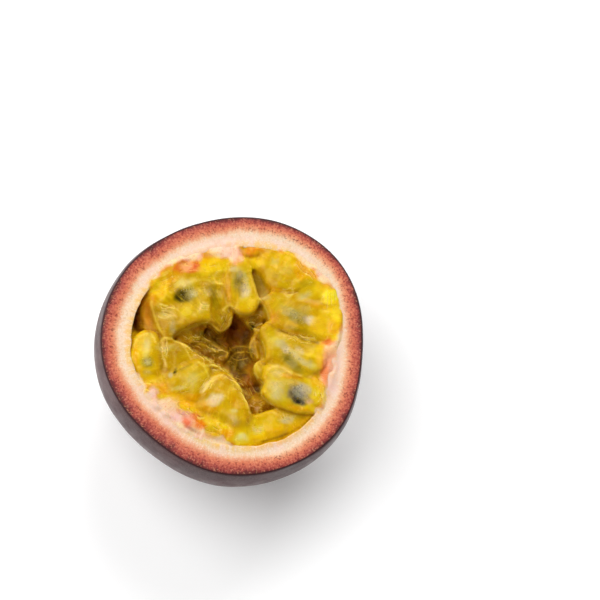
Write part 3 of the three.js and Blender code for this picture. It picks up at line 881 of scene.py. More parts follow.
# Folds: (picture points, depth, half width in mm, height in mm; minus is a groove)
FOLDS = [
    ([(163, 339), (172, 340), (182, 344), (190, 348), (198, 353), (205, 357), (211, 361)], 0.6, 0.22, 0.22),
    ([(205, 366), (215, 366), (224, 370), (231, 377), (238, 386), (246, 394)], 1.0, 0.22, 0.25),
    ([(224, 375), (232, 381), (239, 389), (244, 396)], 0.6, 0.2, 0.18),
    ([(202, 392), (206, 386), (211, 380), (218, 376), (224, 375)], 0.0, 0.35, -0.35),
    ([(204, 394), (208, 388), (213, 382), (219, 379)], 0.0, 0.22, 0.12),
    ([(199, 363), (204, 369), (207, 377)], 0.0, 0.22, 0.16),
    ([(162, 343), (163, 352), (165, 361), (168, 368)], 0.3, 0.22, 0.25),
    ([(167, 342), (166, 351), (168, 358)], 0.3, 0.2, 0.18),
    ([(182, 344), (187, 351), (191, 359)], 0.4, 0.22, 0.2),
    ([(178, 371), (184, 368), (190, 365)], 0.8, 0.35, -0.2),
    ([(213, 300), (212, 312), (211, 324)], 0.2, 0.35, -0.3),
    ([(160, 304), (166, 307), (173, 308), (177, 312)], 0.1, 0.25, 0.2),
    ([(160, 317), (166, 317), (172, 315), (177, 318)], 0.1, 0.25, 0.2),
    ([(164, 312), (170, 311), (175, 314)], 0.1, 0.22, 0.15),
    ([(167, 300), (173, 304), (178, 310)], 0.0, 0.35, -0.3),
    ([(200, 313), (201, 306), (205, 303), (209, 306), (209, 311)], -0.3, 0.25, 0.2),
    ([(226, 305), (230, 305), (234, 308), (240, 311)], 0.3, 0.25, 0.2),
    ([(223, 284), (217, 283), (214, 278), (218, 273), (224, 270)], 0.2, 0.25, 0.3),
    ([(196, 281), (202, 279), (208, 280), (213, 284)], 0.2, 0.25, 0.25),
    ([(200, 270), (208, 268), (216, 262), (222, 259)], 0.2, 0.3, 0.2),
    ([(204, 262), (210, 270), (211, 277)], 0.2, 0.25, -0.2),
    ([(283, 281), (290, 279), (296, 282)], 0.0, 0.25, 0.18),
    ([(279, 289), (288, 291), (297, 292)], 0.2, 0.3, -0.3),
    ([(285, 293), (290, 297), (295, 293)], 0.0, 0.25, 0.22),
    ([(288, 305), (297, 302), (304, 303)], -0.2, 0.3, 0.15),
    ([(279, 329), (288, 333), (297, 335), (307, 338), (318, 342)], 0.3, 0.3, -0.4),
    ([(284, 335), (294, 337), (303, 341), (311, 342)], 0.0, 0.2, 0.2),
    ([(270, 371), (276, 367), (284, 369), (291, 374)], 0.0, 0.22, 0.18),
    ([(314, 381), (319, 386), (319, 393), (315, 399)], 0.6, 0.22, 0.25),
    ([(321, 383), (325, 390), (323, 398), (317, 404)], 0.8, 0.22, 0.25),
    ([(313, 406), (319, 402), (324, 396)], 0.8, 0.22, 0.2),
    ([(182, 388), (187, 385), (191, 381)], 0.0, 0.22, 0.2),
    ([(170, 390), (178, 391), (186, 390)], 0.2, 0.25, 0.2),
    ([(152, 281), (158, 284), (160, 291)], 0.6, 0.25, 0.2),
    ([(163, 272), (166, 280), (165, 290)], 0.6, 0.25, 0.2),
    ([(172, 270), (173, 278), (171, 286)], 0.6, 0.25, 0.2),
    ([(325, 300), (332, 303), (338, 301)], 0.5, 0.3, -0.25),
    ([(321, 308), (329, 310), (338, 309)], 0.5, 0.3, -0.25),
    ([(196, 420), (206, 422), (218, 428)], 0.8, 0.25, 0.25),
    ([(200, 428), (212, 431), (224, 436)], 0.8, 0.25, 0.2),
    ([(210, 416), (222, 421), (232, 428)], 0.8, 0.25, 0.2),
    ([(192, 342), (200, 343), (209, 348), (218, 352)], 4.2, 0.2, 0.3),
    ([(197, 337), (206, 339), (214, 344), (222, 350)], 6.0, 0.2, 0.3),
    ([(230, 352), (236, 348), (244, 347)], 10.2, 0.25, 0.3),
    ([(230, 360), (236, 354), (246, 351)], 10.2, 0.25, 0.3),
    ([(240, 383), (246, 388), (250, 396)], 5.6, 0.25, 0.3),
    ([(246, 392), (252, 396), (258, 402)], 5.6, 0.25, 0.3),
]


def deep_sacs():
    """Rings of sacs on the wall under the ones at the cut, down to the floor of the hollow."""
    rng = np.random.default_rng(5)
    out = []
    for count, deep, r, first in ((12, 9.6, 14.4, 15), (10, 14.2, 12.4, 0), (7, 18.6, 7.6, 22), (1, 20.0, 0.5, 0)):
        for i in range(count):
            a = first + 360 * i / count + rng.uniform(-5, 5)
            rr = r + rng.uniform(-0.8, 0.8)
            size = rng.uniform(0.9, 1.1)
            d, w = math.radians(a), math.radians(8 if deep < 15 else 35)
            along = np.array([math.cos(d) * math.cos(w), math.sin(d) * math.cos(w), -math.sin(w)])
            across = np.array([-math.sin(d), math.cos(d), 0.0])
            out.append(dict(
                centre=np.array([rr * math.cos(d) + 0.9, rr * math.sin(d) - 1.2, -deep + rng.uniform(-0.6, 0.6)]),
                turn=np.stack([along, across, np.cross(along, across)]),
                a=5.0 * size, b=3.5 * size, c=3.1 * size, n=rng.uniform(2.5, 3.0), hue=rng.uniform(3.0, 4.0)))
    return out


HUES = np.array([rgb(228, 200, 34), rgb(220, 178, 10), rgb(208, 156, 4), rgb(180, 118, 2), rgb(132, 102, 8)])


def hue_of(value):
    i = int(min(value, 3.999))
    return HUES[i] * (1 - (value - i)) + HUES[i + 1] * (value - i)


def warped(p):
    """Points moved about a little, which makes plain shapes uneven."""
    w = np.empty(p.shape, np.float32)
    for k in range(3):
        w[..., k] = 0.42 * warp_a.at(p + 23.0 * k, 4.2) + 0.15 * warp_b.at(p + 41.0 * k, 1.5)
    return p + w


def sac_distance(s):
    plan, r, zc, c = s["plan"], 0.62 * s["r"], -(s["top"] + s["low"]) / 2, (s["low"] - s["top"]) / 2
    rv = min(1.0 * r, c)
    dome = s.get("dome", 0.55)

    def distance(q):
        """q: points already moved about."""
        sd = plan.at(q[..., 0], q[..., 1])
        side = np.maximum(sd + r, 0) / r
        z = q[..., 2] - zc
        z = np.where(z > 0, z + dome * np.exp(sd / 1.5), z)       # the top is a little domed
        top = np.maximum(np.abs(z) - (c - rv), 0) / rv
        p = 2.2
        f = (side ** p + top ** p) ** (1 / p)
        scale = (side ** p * r + top ** p * rv) / np.maximum(side ** p + top ** p, 1e-6)
        return (f - 1) * scale

    return distance


def join(old, new, k):
    blend = np.maximum(k - np.abs(old - new), 0) / k
    return np.minimum(old, new) - blend * blend * k * 0.25


def fold_height(p):
    """How much the folds raise the surface at points, which also carry their depth."""
    out = np.zeros(p.shape[:-1], np.float32)
    depth = -p[..., 2]
    for pts, deep, width, height in FOLDS:
        line = rounded_line(np.array([on_face(px, py, deep) for px, py in pts]))
        lo, hi = line.min(0) - 3 * width, line.max(0) + 3 * width
        near = ((p[..., 0] > lo[0]) & (p[..., 0] < hi[0]) & (p[..., 1] > lo[1]) & (p[..., 1] < hi[1])
                & (np.abs(depth - deep) < 2.6))
        i = np.where(near)
        d = to_segments(line, p[..., 0][i], p[..., 1][i])
        along = np.exp(-(d / width) ** 2) * smooth(2.6, 1.4, np.abs(depth[i] - deep))
        out[i] += 0.5 * height * along
    return out


def rounded_line(p, steps=4):
    q = np.concatenate([[2 * p[0] - p[1]], p, [2 * p[-1] - p[-2]]])
    out = []
    for a, b, c, d in zip(q[:-3], q[1:-2], q[2:-1], q[3:]):
        for t in np.linspace(0, 1, steps, endpoint=False):
            out.append(0.5 * (2 * b + (c - a) * t + (2 * a - 5 * b + 4 * c - d) * t**2 + (3 * b - a - 3 * c + d) * t**3))
    out.append(q[-2])
    return np.array(out)


def room(p):
    """Distance past the wall of the cavity, which nothing of the pulp reaches into."""
    x, y, z = p[..., 0], p[..., 1], p[..., 2]
    r = np.hypot(x, y)
    wall = r - (inner_radius(np.arctan2(y, x), z) + 0.25 + 0.65 * smooth(-0.1, -0.9, z))
    floor = ((r / CAVITY_RADIUS) ** 2 + (np.minimum(z + CUT_HEIGHT, 0) / CAVITY_DEPTH) ** 2 - 1) * 9
    return np.maximum(wall, floor)


def crumple(p, size):
    """The creases of crumpled film."""
    q = p + 0.6 * np.stack([warp_a.at(p + 4, 2.0), warp_b.at(p + 14, 2.0), warp_a.at(p + 24, 2.0)], -1)
    return 0.30 * (0.5 - np.abs(fine_a.at(q, size)) * 1.6) + 0.12 * (0.5 - np.abs(fine_a.at(q + 8, size * 0.55)) * 1.6)


# ------------------------------------------------------------------ the tissue that the seeds hang from
# The line where the cream stops and the yellow starts, in picture points.
EDGE_LINE = [
    (135, 333), (137, 320), (140, 305), (144, 295), (149, 287), (152, 282), (156, 277), (158, 272), (163, 269),
    (170, 267), (176, 264), (181, 261), (186, 260), (191, 262), (197, 262), (202, 258), (205, 252), (212, 256),
    (220, 257), (228, 259), (236, 262), (243, 261), (241, 253), (239, 247), (245, 246), (262, 247), (275, 248),
    (285, 249), (290, 250), (300, 260), (310, 268), (316, 275), (322, 282), (328, 285), (334, 289), (338, 297),
    (341, 306), (343, 316), (341, 326), (337, 334), (334, 341), (328, 346), (326, 356), (326, 364), (323, 371),
    (322, 380), (325, 388), (326, 395), (322, 402), (318, 408), (312, 415), (303, 422), (290, 431), (276, 437),
    (262, 441), (250, 445), (240, 446), (230, 443), (220, 438), (208, 434), (203, 428), (198, 421), (192, 414),
    (185, 413), (179, 410), (175, 403), (170, 398), (164, 400), (159, 396), (156, 387), (152, 387), (147, 391),
    (143, 382), (139, 370), (135, 358), (133, 345),
]

# Frayed tissue at the wall, white and pink on the rind and yellow where it meets the flesh: outline in
# picture points, top and low in mm under the cut.
TISSUE = [
    dict(out=[(146, 282), (157, 267), (170, 257), (185, 250), (200, 245), (210, 243), (222, 246), (232, 256), (230, 264),
         (224, 270), (217, 277), (208, 281), (198, 279), (188, 278), (176, 279), (166, 282), (158, 287), (150, 291),
         (147, 288)], top=0.15, low=2.4),
    dict(out=[(202, 246), (212, 242), (226, 241), (238, 242), (241, 248), (244, 254), (246, 261), (240, 264), (233, 263),
         (226, 260), (217, 259), (210, 258), (205, 256)], top=-0.25, low=2.0),
    dict(out=[(176, 264), (180, 258), (190, 254), (200, 254), (204, 260), (200, 265), (192, 263), (184, 262)],
         top=-0.1, low=2.0),
    dict(out=[(283, 247), (296, 250), (308, 259), (320, 269), (330, 280), (338, 289), (344, 300), (347, 312), (347, 325),
         (343, 336), (337, 342), (328, 343), (324, 336), (325, 324), (322, 312), (322, 302), (320, 292), (312, 285),
         (304, 280), (299, 272), (292, 263), (286, 256)], top=0.05, low=2.4),
    dict(out=[(326, 287), (334, 288), (338, 296), (337, 305), (330, 308), (324, 303), (322, 295)], top=-0.3, low=2.0),
    dict(out=[(326, 341), (336, 337), (342, 345), (344, 360), (342, 378), (337, 392), (330, 404), (324, 408), (317, 411),
         (313, 404), (316, 394), (314, 384), (318, 378), (323, 371), (327, 363), (325, 355), (324, 347)], top=0.1,
         low=2.4),
    dict(out=[(137, 386), (139, 376), (146, 377), (156, 377), (165, 383), (172, 391), (181, 398), (193, 402), (204, 407),
         (216, 413), (226, 419), (235, 426), (238, 436), (233, 444), (222, 444), (208, 441), (194, 438), (182, 431),
         (170, 421), (158, 409), (147, 398)], top=0.15, low=2.4),
    dict(out=[(144, 392), (150, 388), (156, 389), (159, 397), (166, 401), (174, 405), (178, 412), (186, 415), (193, 415),
         (199, 422), (203, 430), (196, 433), (186, 430), (175, 421), (163, 410), (152, 400)], top=-0.15, low=2.0),
]

TISSUE_PATCHES = [
    (188, 266, 9, 5, 0, rgb(255, 176, 120), 0.9), (179, 267, 4, 5, 0, rgb(232, 112, 36), 0.85),
    (197, 266, 5, 5, 30, rgb(236, 96, 56), 0.85), (193, 271, 6, 3, 0, rgb(240, 110, 60), 0.7),
    (184, 261, 7, 2, 15, rgb(196, 76, 40), 0.6), (200, 257, 3, 4, 0, rgb(248, 190, 180), 0.6),
    (206, 253, 3, 5, 0, rgb(236, 160, 60), 0.8), (226, 250, 14, 6, 0, rgb(252, 206, 180), 0.7),
    (236, 252, 6, 8, 0, rgb(252, 190, 160), 0.7), (212, 254, 6, 4, 0, rgb(250, 200, 120), 0.7),
    (239, 260, 5, 4, 0, rgb(244, 180, 110), 0.6), (214, 247, 6, 4, 0, rgb(246, 214, 190), 0.5),
    (305, 268, 9, 4, -40, rgb(244, 170, 70), 0.6), (314, 274, 6, 3, -40, rgb(244, 156, 70), 0.6),
    (331, 296, 6, 9, 0, rgb(255, 232, 40), 0.9), (337, 314, 5, 8, 0, rgb(255, 226, 46), 0.85),
    (333, 327, 5, 7, 0, rgb(250, 190, 40), 0.6), (328, 342, 6, 4, 0, rgb(238, 118, 44), 0.9),
    (330, 352, 6, 6, 0, rgb(250, 180, 120), 0.7), (326, 373, 5.5, 15, 5, rgb(238, 126, 62), 0.9),
    (331, 366, 5, 12, 0, rgb(243, 144, 94), 0.8), (335, 372, 5, 18, 0, rgb(250, 180, 148), 0.7),
    (326, 398, 5, 7, 0, rgb(255, 222, 108), 0.85), (321, 386, 4, 8, 10, rgb(246, 178, 64), 0.6),
    (319, 362, 4, 9, 10, rgb(250, 196, 60), 0.6), (154, 393, 5, 5, 0, rgb(250, 200, 196), 0.6),
    (163, 404, 7, 5, -40, rgb(250, 206, 172), 0.6), (172, 404, 5, 6, -60, rgb(250, 210, 140), 0.6),
    (177, 416, 8, 5, -40, rgb(250, 196, 190), 0.7), (187, 414, 6, 3, 0, rgb(248, 180, 170), 0.7),
    (187, 423, 7, 5, -40, rgb(236, 104, 60), 0.9), (195, 418, 5, 4, 0, rgb(238, 120, 60), 0.8),
    (199, 425, 6, 5, 0, rgb(240, 128, 0), 0.95), (192, 429, 8, 2, -28, rgb(170, 80, 50), 0.6),
    (204, 434, 8, 3, -15, rgb(250, 190, 160), 0.6),
]


def frayed(p):
    """Noise in fibres that run out from the wall."""
    a, r = np.arctan2(p[..., 1], p[..., 0]), np.hypot(p[..., 0], p[..., 1])
    way = np.stack([18 * np.cos(a), 18 * np.sin(a), 0.25 * r + 0.3 * p[..., 2]], -1)
    return 0.45 * fine_a.many(way, 0.9, 2) + 0.45 * warp_a.at(way + 7, 2.1) + 0.4 * warp_b.at(p, 1.6)


def tissue_field(field):
    """Joins the tissue to the sacs, as mounds that run out over the rind and into the flesh."""
    start = int((-3.6 - field.low[2]) / field.h)
    part = (slice(None), slice(None), slice(start, None))
    every, p = field.region((0, 0, -7), 60)
    p = p[part]
    q = warped(p)
    fray = frayed(p)
    angle = np.arctan2(p[..., 1], p[..., 0])
    u = np.hypot(p[..., 0], p[..., 1]) - inner_radius(angle, 0 * p[..., 2])
    out = np.full(p.shape[:-1], 3.0, np.float32)
    for s in TISSUE:
        plan = Plan(s["out"], max(s["top"], 0), 0.15)
        flat = plan.at(q[..., 0], q[..., 1]) + 0.5 * fray - 1.3 * smooth(-0.8, 0.8, u)
        r, zc, c = 0.5, -(s["top"] - 0.2 + s["low"]) / 2, (s["low"] - s["top"] + 0.2) / 2
        side = np.maximum(flat + r, 0)
        z = p[..., 2] - zc
        top = np.maximum(np.abs(np.where(z > 0, z + 1.1 * smooth(-1.7, 0.2, flat), z)) - (c - r), 0)
        d = np.sqrt(side * side + top * top) - r
        out = join(out, d.astype(np.float32), 0.7)
    out -= (0.05 * fine_a.at(p, 0.7) + 0.12 * fray + 0.18 * warp_a.at(p, 2.3) + 0.35 * crumple(p, 2.0)).astype(np.float32)
    over = p[..., 2] - (0.36 - 0.80 * smooth(-1.0, 1.8, u + 0.7 * fray))
    out = np.maximum(out, over.astype(np.float32))
    field.D[part] = join(field.D[part], out, 1.0)


def tissue_share(verts, fray):
    """How far points lie in the tissue, from 0 to 1."""
    angle = np.arctan2(verts[:, 1], verts[:, 0])
    u = np.hypot(verts[:, 0], verts[:, 1]) - inner_radius(angle, 0 * angle)
    flat = np.full(len(verts), 3.0)
    for s in TISSUE:
        plan = Plan(s["out"], max(s["top"], 0), 0.15)
        flat = np.minimum(flat, plan.at(verts[:, 0], verts[:, 1]))
    flat = flat + 0.5 * fray - 1.3 * smooth(-0.8, 0.8, u)
    return smooth(0.5, -0.2, flat) * smooth(2.6, 1.6, -verts[:, 2])


def sacs_piece():
    """The sacs and flesh that show, as one uneven mass."""
    h = 0.26
    field = Field((-23.0, -23.0, -15.6), (24.6, 22.9, 1.6), h)
    every, p = field.region((0, 0, -7), 60)
    q = warped(p)
    # the lining that the sacs grow from, along the wall
    angle = np.arctan2(p[..., 1], p[..., 0])
    gap = np.exp(-(np.angle(np.exp(1j * (angle - math.radians(161)))) / math.radians(13)) ** 2)
    inward = inner_radius(angle, p[..., 2]) - 3.0 - np.hypot(q[..., 0], q[..., 1])
    top = q[..., 2] + 1.1 + 5.0 * gap + 0.25 * warp_b.at(p, 1.9)
    field.D = np.maximum(field.D * 0, np.maximum(inward, top)).astype(np.float32)
    field.D = np.where(field.D > 0, field.D, np.maximum(inward, top)).astype(np.float32)
    # flesh between the sacs, which keeps the grooves shallow
    near_wall = smooth(4.5, 1.0, inner_radius(angle, 0 * p[..., 2]) - np.hypot(q[..., 0], q[..., 1]))
    fill = np.maximum(q[..., 2] + 1.4 - 0.6 * near_wall + 5.0 * gap + 0.3 * warp_a.at(p, 2.3), -(p[..., 2] + 8.0))
    field.D = join(field.D, fill.astype(np.float32), 0.5)

    def add(table, grow):
        for s in table:
            s["plan"] = Plan(s["out"], max(s["top"], 0) + 0.45 * s["r"], grow)
            lo = np.append(s["plan"].low + 1.2, -s["low"] - 1.5)
            hi = np.append(s["plan"].high - 1.2, -s["top"] + 1.6)
            a = np.maximum(np.floor((lo - field.low) / h).astype(int), 0)
            b = np.minimum(np.ceil((hi - field.low) / h).astype(int) + 1, field.n)
            part = tuple(slice(i, j) for i, j in zip(a, b))
            field.D[part] = join(field.D[part], sac_distance(s)(q[part]).astype(np.float32), s["k"])

    add(SACS, 0.6)
    for out, edge, floor, k in HOLLOWS:
        plan = Plan(out, edge)
        bent = p + (q - p) * 0.4
        d = -np.maximum(plan.at(bent[..., 0], bent[..., 1]), -(p[..., 2] + floor)).astype(np.float32)
        blend = np.maximum(k - np.abs(field.D - d), 0) / k
        field.D = np.maximum(field.D, d) + blend * blend * k * 0.25
    add(LOW_SACS, 0.15)
    near = np.abs(field.D) < 1.2
    pts = p[near]
    skin = (0.03 * fine_a.at(pts, 0.8) + 0.07 * warp_b.at(pts + 15, 1.6) + 0.10 * warp_a.at(pts + 35, 3.1)
            + 0.06 * (1 - np.abs(fine_a.at(pts + 9, 1.7)) * 2) * smooth(0.1, 0.5, warp_b.at(pts + 60, 3.0)))
    skin = skin + crumple(pts, 1.7) * smooth(-1.2, -3.2, pts[:, 2])
    field.D[near] -= (skin + fold_height(pts)).astype(np.float32)
    field.D = np.maximum(field.D, room(p).astype(np.float32))
    tissue_field(field)
    field.D[:, :, :2] = np.maximum(field.D[:, :, :2], 0.2)
    verts, quads = field.mesh()
    _, g = field.sample(verts)
    g = g / np.maximum(np.sqrt((g * g).sum(1)), 1e-6)[:, None]
    away = (g[:, :2] * verts[:, :2]).sum(1) / np.maximum(np.hypot(verts[:, 0], verts[:, 1]), 1e-6)
    deep = -verts[:, 2]
    spare = np.where(deep > 6.5, 0.3, 0.0)
    spare[(g[:, 2] < -0.15) | ((away > 0.5) & (deep > 1.2) & (np.hypot(verts[:, 0], verts[:, 1]) > 17))] = 1.0
    verts, quads = thinned(verts, quads, spare, 194000)
    return field, verts, quads


def core_piece():
    """The deeper flesh and sacs on the wall and the floor of the hollow."""
    h = 0.42
    field = Field((-23.0, -23.0, -27.0), (24.0, 23.0, -2.4), h)
    every, p = field.region((0, 0, -14), 60)
    q = warped(p)
    x, y, z = q[..., 0], q[..., 1], q[..., 2]
    # a wall of flesh round the open well
    well = 1 - np.sqrt(((x - 1.2) / 8.0) ** 2 + ((y + 0.6) / 9.6) ** 2 + (np.minimum(z + 3, 0) / 16.0) ** 2)
    field.D = np.maximum(z + 5.0, well * 8.0).astype(np.float32)
    for s in deep_sacs():
        part, pp = field.region(s["centre"], 7.5)
        w = (q[part] - s["centre"].astype(np.float32)) @ s["turn"].T.astype(np.float32)
        n = s["n"]
        f = ((np.abs(w[..., 0] / s["a"]) ** n + np.abs(w[..., 1] / s["b"]) ** n) ** (2.3 / n)
             + np.abs(w[..., 2] / s["c"]) ** 2.3) ** (1 / 2.3)
        f = np.maximum(f, 1e-3)
        d = np.sqrt((w * w).sum(-1)) * (1 - 1 / f)
        field.D[part] = join(field.D[part], d.astype(np.float32), 0.5)
    near = np.abs(field.D) < 1.5
    field.D[near] -= (1.3 * crumple(p[near], 2.3)).astype(np.float32)
    field.D = np.maximum(field.D, room(p).astype(np.float32))
    verts, quads = field.mesh()
    return field, verts, quads


# Seeds: picture point, half length, half width (mm), direction, depth of the middle under the cut, how
# dark it shows through the jelly.
SEEDS = [
    (184, 296, 2.4, 1.85, 25, 0.95, 1.0),
    (172, 325, 1.8, 1.3, 80, 1.9, 0.0),
    (206, 291, 2.0, 1.2, 95, 1.9, 0.0),
    (241, 284, 3.2, 1.75, 106, 0.9, 0.0),
    (288, 270, 2.1, 1.6, 60, 1.6, 0.0),
    (306, 297, 2.1, 1.4, 10, 1.9, 0.0),
    (301, 317, 3.2, 1.7, -28, 1.2, 0.0),
    (293, 356, 3.2, 1.7, -45, 1.0, 0.0),
    (299, 394, 2.4, 1.95, -35, 0.8, 1.0),
    (148, 362, 1.6, 1.3, 90, 1.3, 0.0),
    (193, 380, 2.2, 1.5, 70, 1.5, 0.0),
    (287, 418, 2.0, 1.2, 15, 1.9, 0.0),
    (257, 430, 2.0, 1.2, 10, 1.7, 0.0),
    (216, 401, 2.2, 1.4, 20, 1.3, 0.0),
    (235, 419, 1.7, 1.2, 60, 1.9, 0.0),
]

PALE, WHITE, BEIGE = rgb(226, 214, 136), rgb(240, 230, 178), rgb(212, 188, 118)
GREY, DARK, OLIVE = rgb(140, 134, 92), rgb(58, 50, 22), rgb(132, 112, 14)
ORANGE, AMBER, BROWN = rgb(244, 168, 14), rgb(178, 104, 8), rgb(84, 48, 6)
BRIGHT, LEMON, PINK, RED = rgb(250, 216, 14), rgb(238, 212, 50), rgb(250, 196, 170), rgb(232, 110, 60)

# Soft patches of colour on the flesh: picture point, half length and half width in picture points,
# direction, colour, strength. Many of the pale, white and lemon ones are painted highlights on the wet
# sacs, such as those at the tops of A1, C and K, on A2's wrinkles and on L, M, N and J; the olive strip
# beside the slit between L and M is painted shade.
PATCHES = [
    # upper left
    (184, 283, 11, 4.5, 5, rgb(246, 226, 130), 0.85), (189, 294, 8, 8, 0, GREY, 0.7), (194, 292, 5, 6, 0, PALE, 0.38),
    (180, 295, 7.5, 6, 60, DARK, 0.95), (179, 297, 5.5, 4.5, 20, rgb(30, 22, 8), 0.9), (184, 300, 6, 3, 10, DARK, 0.7), (206, 290, 8, 4, 95, BEIGE, 0.35),
    (212, 296, 14, 3, 98, OLIVE, 0.7), (173, 326, 9, 4.5, 80, BEIGE, 0.75), (168, 313, 7, 5, 0, PALE, 0.5),
    (187, 311, 9, 6, 0, LEMON, 0.6), (203, 308, 7, 5, 40, PALE, 0.45), (163, 298, 9, 6, 60, BRIGHT, 0.6),
    (158, 289, 6, 8, 0, BRIGHT, 0.6), (148, 312, 20, 5, 100, rgb(208, 130, 4), 0.8), (153, 300, 6, 4, 90, ORANGE, 0.6),
    (169, 279, 10, 5, 40, ORANGE, 0.4), (178, 270, 6, 5, 0, ORANGE, 0.6), (192, 266, 9, 5, 10, RED, 0.75),
    (197, 267, 4, 3, 0, RED, 0.8), (177, 267, 3, 3, 0, RED, 0.7), (205, 270, 8, 5, 0, BRIGHT, 0.7),
    (221, 263, 8, 6, 0, BRIGHT, 0.5), (207, 256, 4, 6, 0, ORANGE, 0.7), (224, 252, 14, 5, 0, PINK, 0.8),
    (236, 257, 6, 6, 40, PINK, 0.8), (222, 320, 7, 6, 60, OLIVE, 0.35), (219, 300, 9, 4, 95, OLIVE, 0.4), (215, 296, 13, 3, 97, OLIVE, 0.5),
    # top centre
    (238, 268, 9, 3, 0, WHITE, 0.6), (238, 282, 13, 6.5, 98, GREY, 0.6), (239, 281, 9, 4, 98, OLIVE, 0.3),
    (246, 291, 9, 5, 100, WHITE, 0.55), (246, 278, 9, 3, 108, PALE, 0.6), (243, 298, 6, 4, 100, PALE, 0.5), (246, 306, 9, 4, 5, BRIGHT, 0.5),
    (229, 290, 12, 2.5, 95, ORANGE, 0.35), (251, 249, 15, 6, 5, rgb(236, 140, 10), 0.95), (250, 266, 14, 4, 10, BRIGHT, 0.7),
    # top right
    (276, 260, 5, 4, 0, PALE, 0.6), (289, 269, 6, 7, 70, BEIGE, 0.45), (279, 276, 8, 5, 0, OLIVE, 0.15),
    (299, 272, 4, 9, 20, ORANGE, 0.6), (306, 275, 6, 5, 30, ORANGE, 0.5), (277, 289, 8, 3, 0, ORANGE, 0.45),
    (306, 296, 8, 5, 10, PALE, 0.6), (308, 283, 8, 4, 10, OLIVE, 0.42), (330, 295, 7, 8, 0, rgb(255, 232, 40), 0.95),
    (336, 312, 5, 6, 0, BRIGHT, 0.8), (325, 316, 7, 9, 0, LEMON, 0.5), (333, 326, 5, 8, 0, ORANGE, 0.45),
    (315, 305, 7, 3, 0, ORANGE, 0.4), (266, 297, 6, 4, 20, BEIGE, 0.8),
    # right
    (288, 311, 11, 5, -30, PALE, 0.6), (300, 316, 15, 7, -28, rgb(176, 162, 98), 0.7), (297, 321, 12, 3, -28, OLIVE, 0.35),
    (312, 321, 9, 5, -20, rgb(248, 228, 172), 0.85), (305, 308, 8, 4, -20, BEIGE, 0.5), (274, 317, 5, 8, 30, ORANGE, 0.5), (300, 330, 16, 3, -14, OLIVE, 0.5),
    (322, 332, 6, 6, 0, BRIGHT, 0.6), (280, 344, 9, 6, -20, PALE, 0.8), (286, 348, 5, 4, -40, BEIGE, 0.6),
    (297, 356, 15, 4, -42, rgb(226, 212, 140), 0.65), (291, 362, 14, 5.5, -45, rgb(150, 140, 76), 0.8),
    (289, 360, 7, 3, -45, OLIVE, 0.6), (300, 350, 8, 3, -42, WHITE, 0.4),
    (308, 364, 8, 4, -30, PALE, 0.6), (314, 354, 8, 6, -10, BRIGHT, 0.9), (270, 340, 5, 9, 0, LEMON, 0.4),
    (325, 345, 6, 5, 0, ORANGE, 0.8), (330, 362, 5, 14, 5, PINK, 0.9), (324, 376, 4, 7, 0, ORANGE, 0.5),
    (276, 388, 10, 11, 0, rgb(228, 216, 140), 0.75), (277, 372, 7, 4, 0, BEIGE, 0.7), (294, 383, 9, 4, -15, PALE, 0.6),
    (299, 394, 13, 10.5, -22, rgb(152, 146, 116), 0.95), (298, 400, 8.5, 3.6, -20, rgb(50, 44, 32), 0.92),
    (300, 402, 6.5, 2.6, -15, rgb(26, 23, 18), 0.9), (291, 394, 4, 4.5, 0, rgb(92, 84, 62), 0.7),
    (304, 388, 8, 4.5, -25, rgb(210, 204, 172), 0.6),
    (306, 389, 5, 5, 0, BEIGE, 0.6), (310, 402, 4, 3, 0, PINK, 0.5), (314, 380, 5, 5, 0, ORANGE, 0.7),
    (318, 394, 6, 9, 10, LEMON, 0.5), (290, 376, 12, 2.5, -8, ORANGE, 0.6), (298, 408, 12, 2.5, -14, ORANGE, 0.5),
    (258, 371, 3, 8, 10, LEMON, 0.5),
    # bottom
    (287, 418, 9, 4.5, 12, rgb(226, 212, 150), 0.75), (302, 416, 6, 4, 15, OLIVE, 0.4), (257, 429, 7, 4, 10, PALE, 0.55),
    (242, 436, 8, 5, 10, LEMON, 0.9), (262, 420, 10, 5, 10, BRIGHT, 0.4), (275, 430, 10, 3, 15, ORANGE, 0.3),
    (234, 419, 5, 6, 60, BEIGE, 0.7), (234, 411, 4, 3, 0, PALE, 0.6), (222, 424, 10, 4, -15, BRIGHT, 0.7),
    (226, 432, 9, 4, -10, ORANGE, 0.8), (206, 424, 10, 5, -20, LEMON, 0.4), (196, 422, 6, 5, -20, ORANGE, 0.9),
    (186, 424, 6, 5, -40, RED, 0.8), (192, 416, 6, 3, 0, RED, 0.6), (180, 412, 9, 5, -40, PINK, 0.8),
    # lower left
    (214, 400, 10, 6, 20, PALE, 0.65), (214, 384, 8, 3, 42, rgb(250, 218, 118), 0.45), (233, 398, 9, 5, -60, ORANGE, 0.3),
    (205, 388, 6, 2.2, 48, rgb(250, 220, 122), 0.6), (194, 378, 10, 9, 60, PALE, 0.5), (196, 395, 8, 3, 10, ORANGE, 0.5),
    (180, 388, 8, 3, 10, PALE, 0.6), (165, 348, 4, 9, 85, PALE, 0.55), (177, 352, 8, 7, 0, OLIVE, 0.25),
    (171, 375, 3, 3.5, 0, rgb(214, 192, 132), 0.8), (175.5, 371.5, 3.6, 2, 70, rgb(44, 30, 6), 0.95),
    (184, 368, 7, 2, 25, rgb(160, 128, 14), 0.4),
    (147, 346, 11, 5, 90, rgb(232, 216, 136), 0.7), (148, 362, 6.5, 6, 0, rgb(150, 142, 90), 0.75), (149, 362, 2.5, 2.5, 0, PALE, 0.6),
    (148, 372, 5, 3, 0, BEIGE, 0.6), (136, 354, 13, 2.5, 92, ORANGE, 0.5), (154, 378, 8, 4, 0, BRIGHT, 0.6),
    (165, 388, 8, 6, 0, ORANGE, 0.6), (165, 396, 4, 3, 0, BRIGHT, 0.7), (188, 401, 12, 5, 10, ORANGE, 0.55),
    (152, 391, 4, 4, 0, PINK, 0.7), (207, 408, 14, 4, -5, ORANGE, 0.45), (150, 336, 3, 8, 0, PALE, 0.2),
]
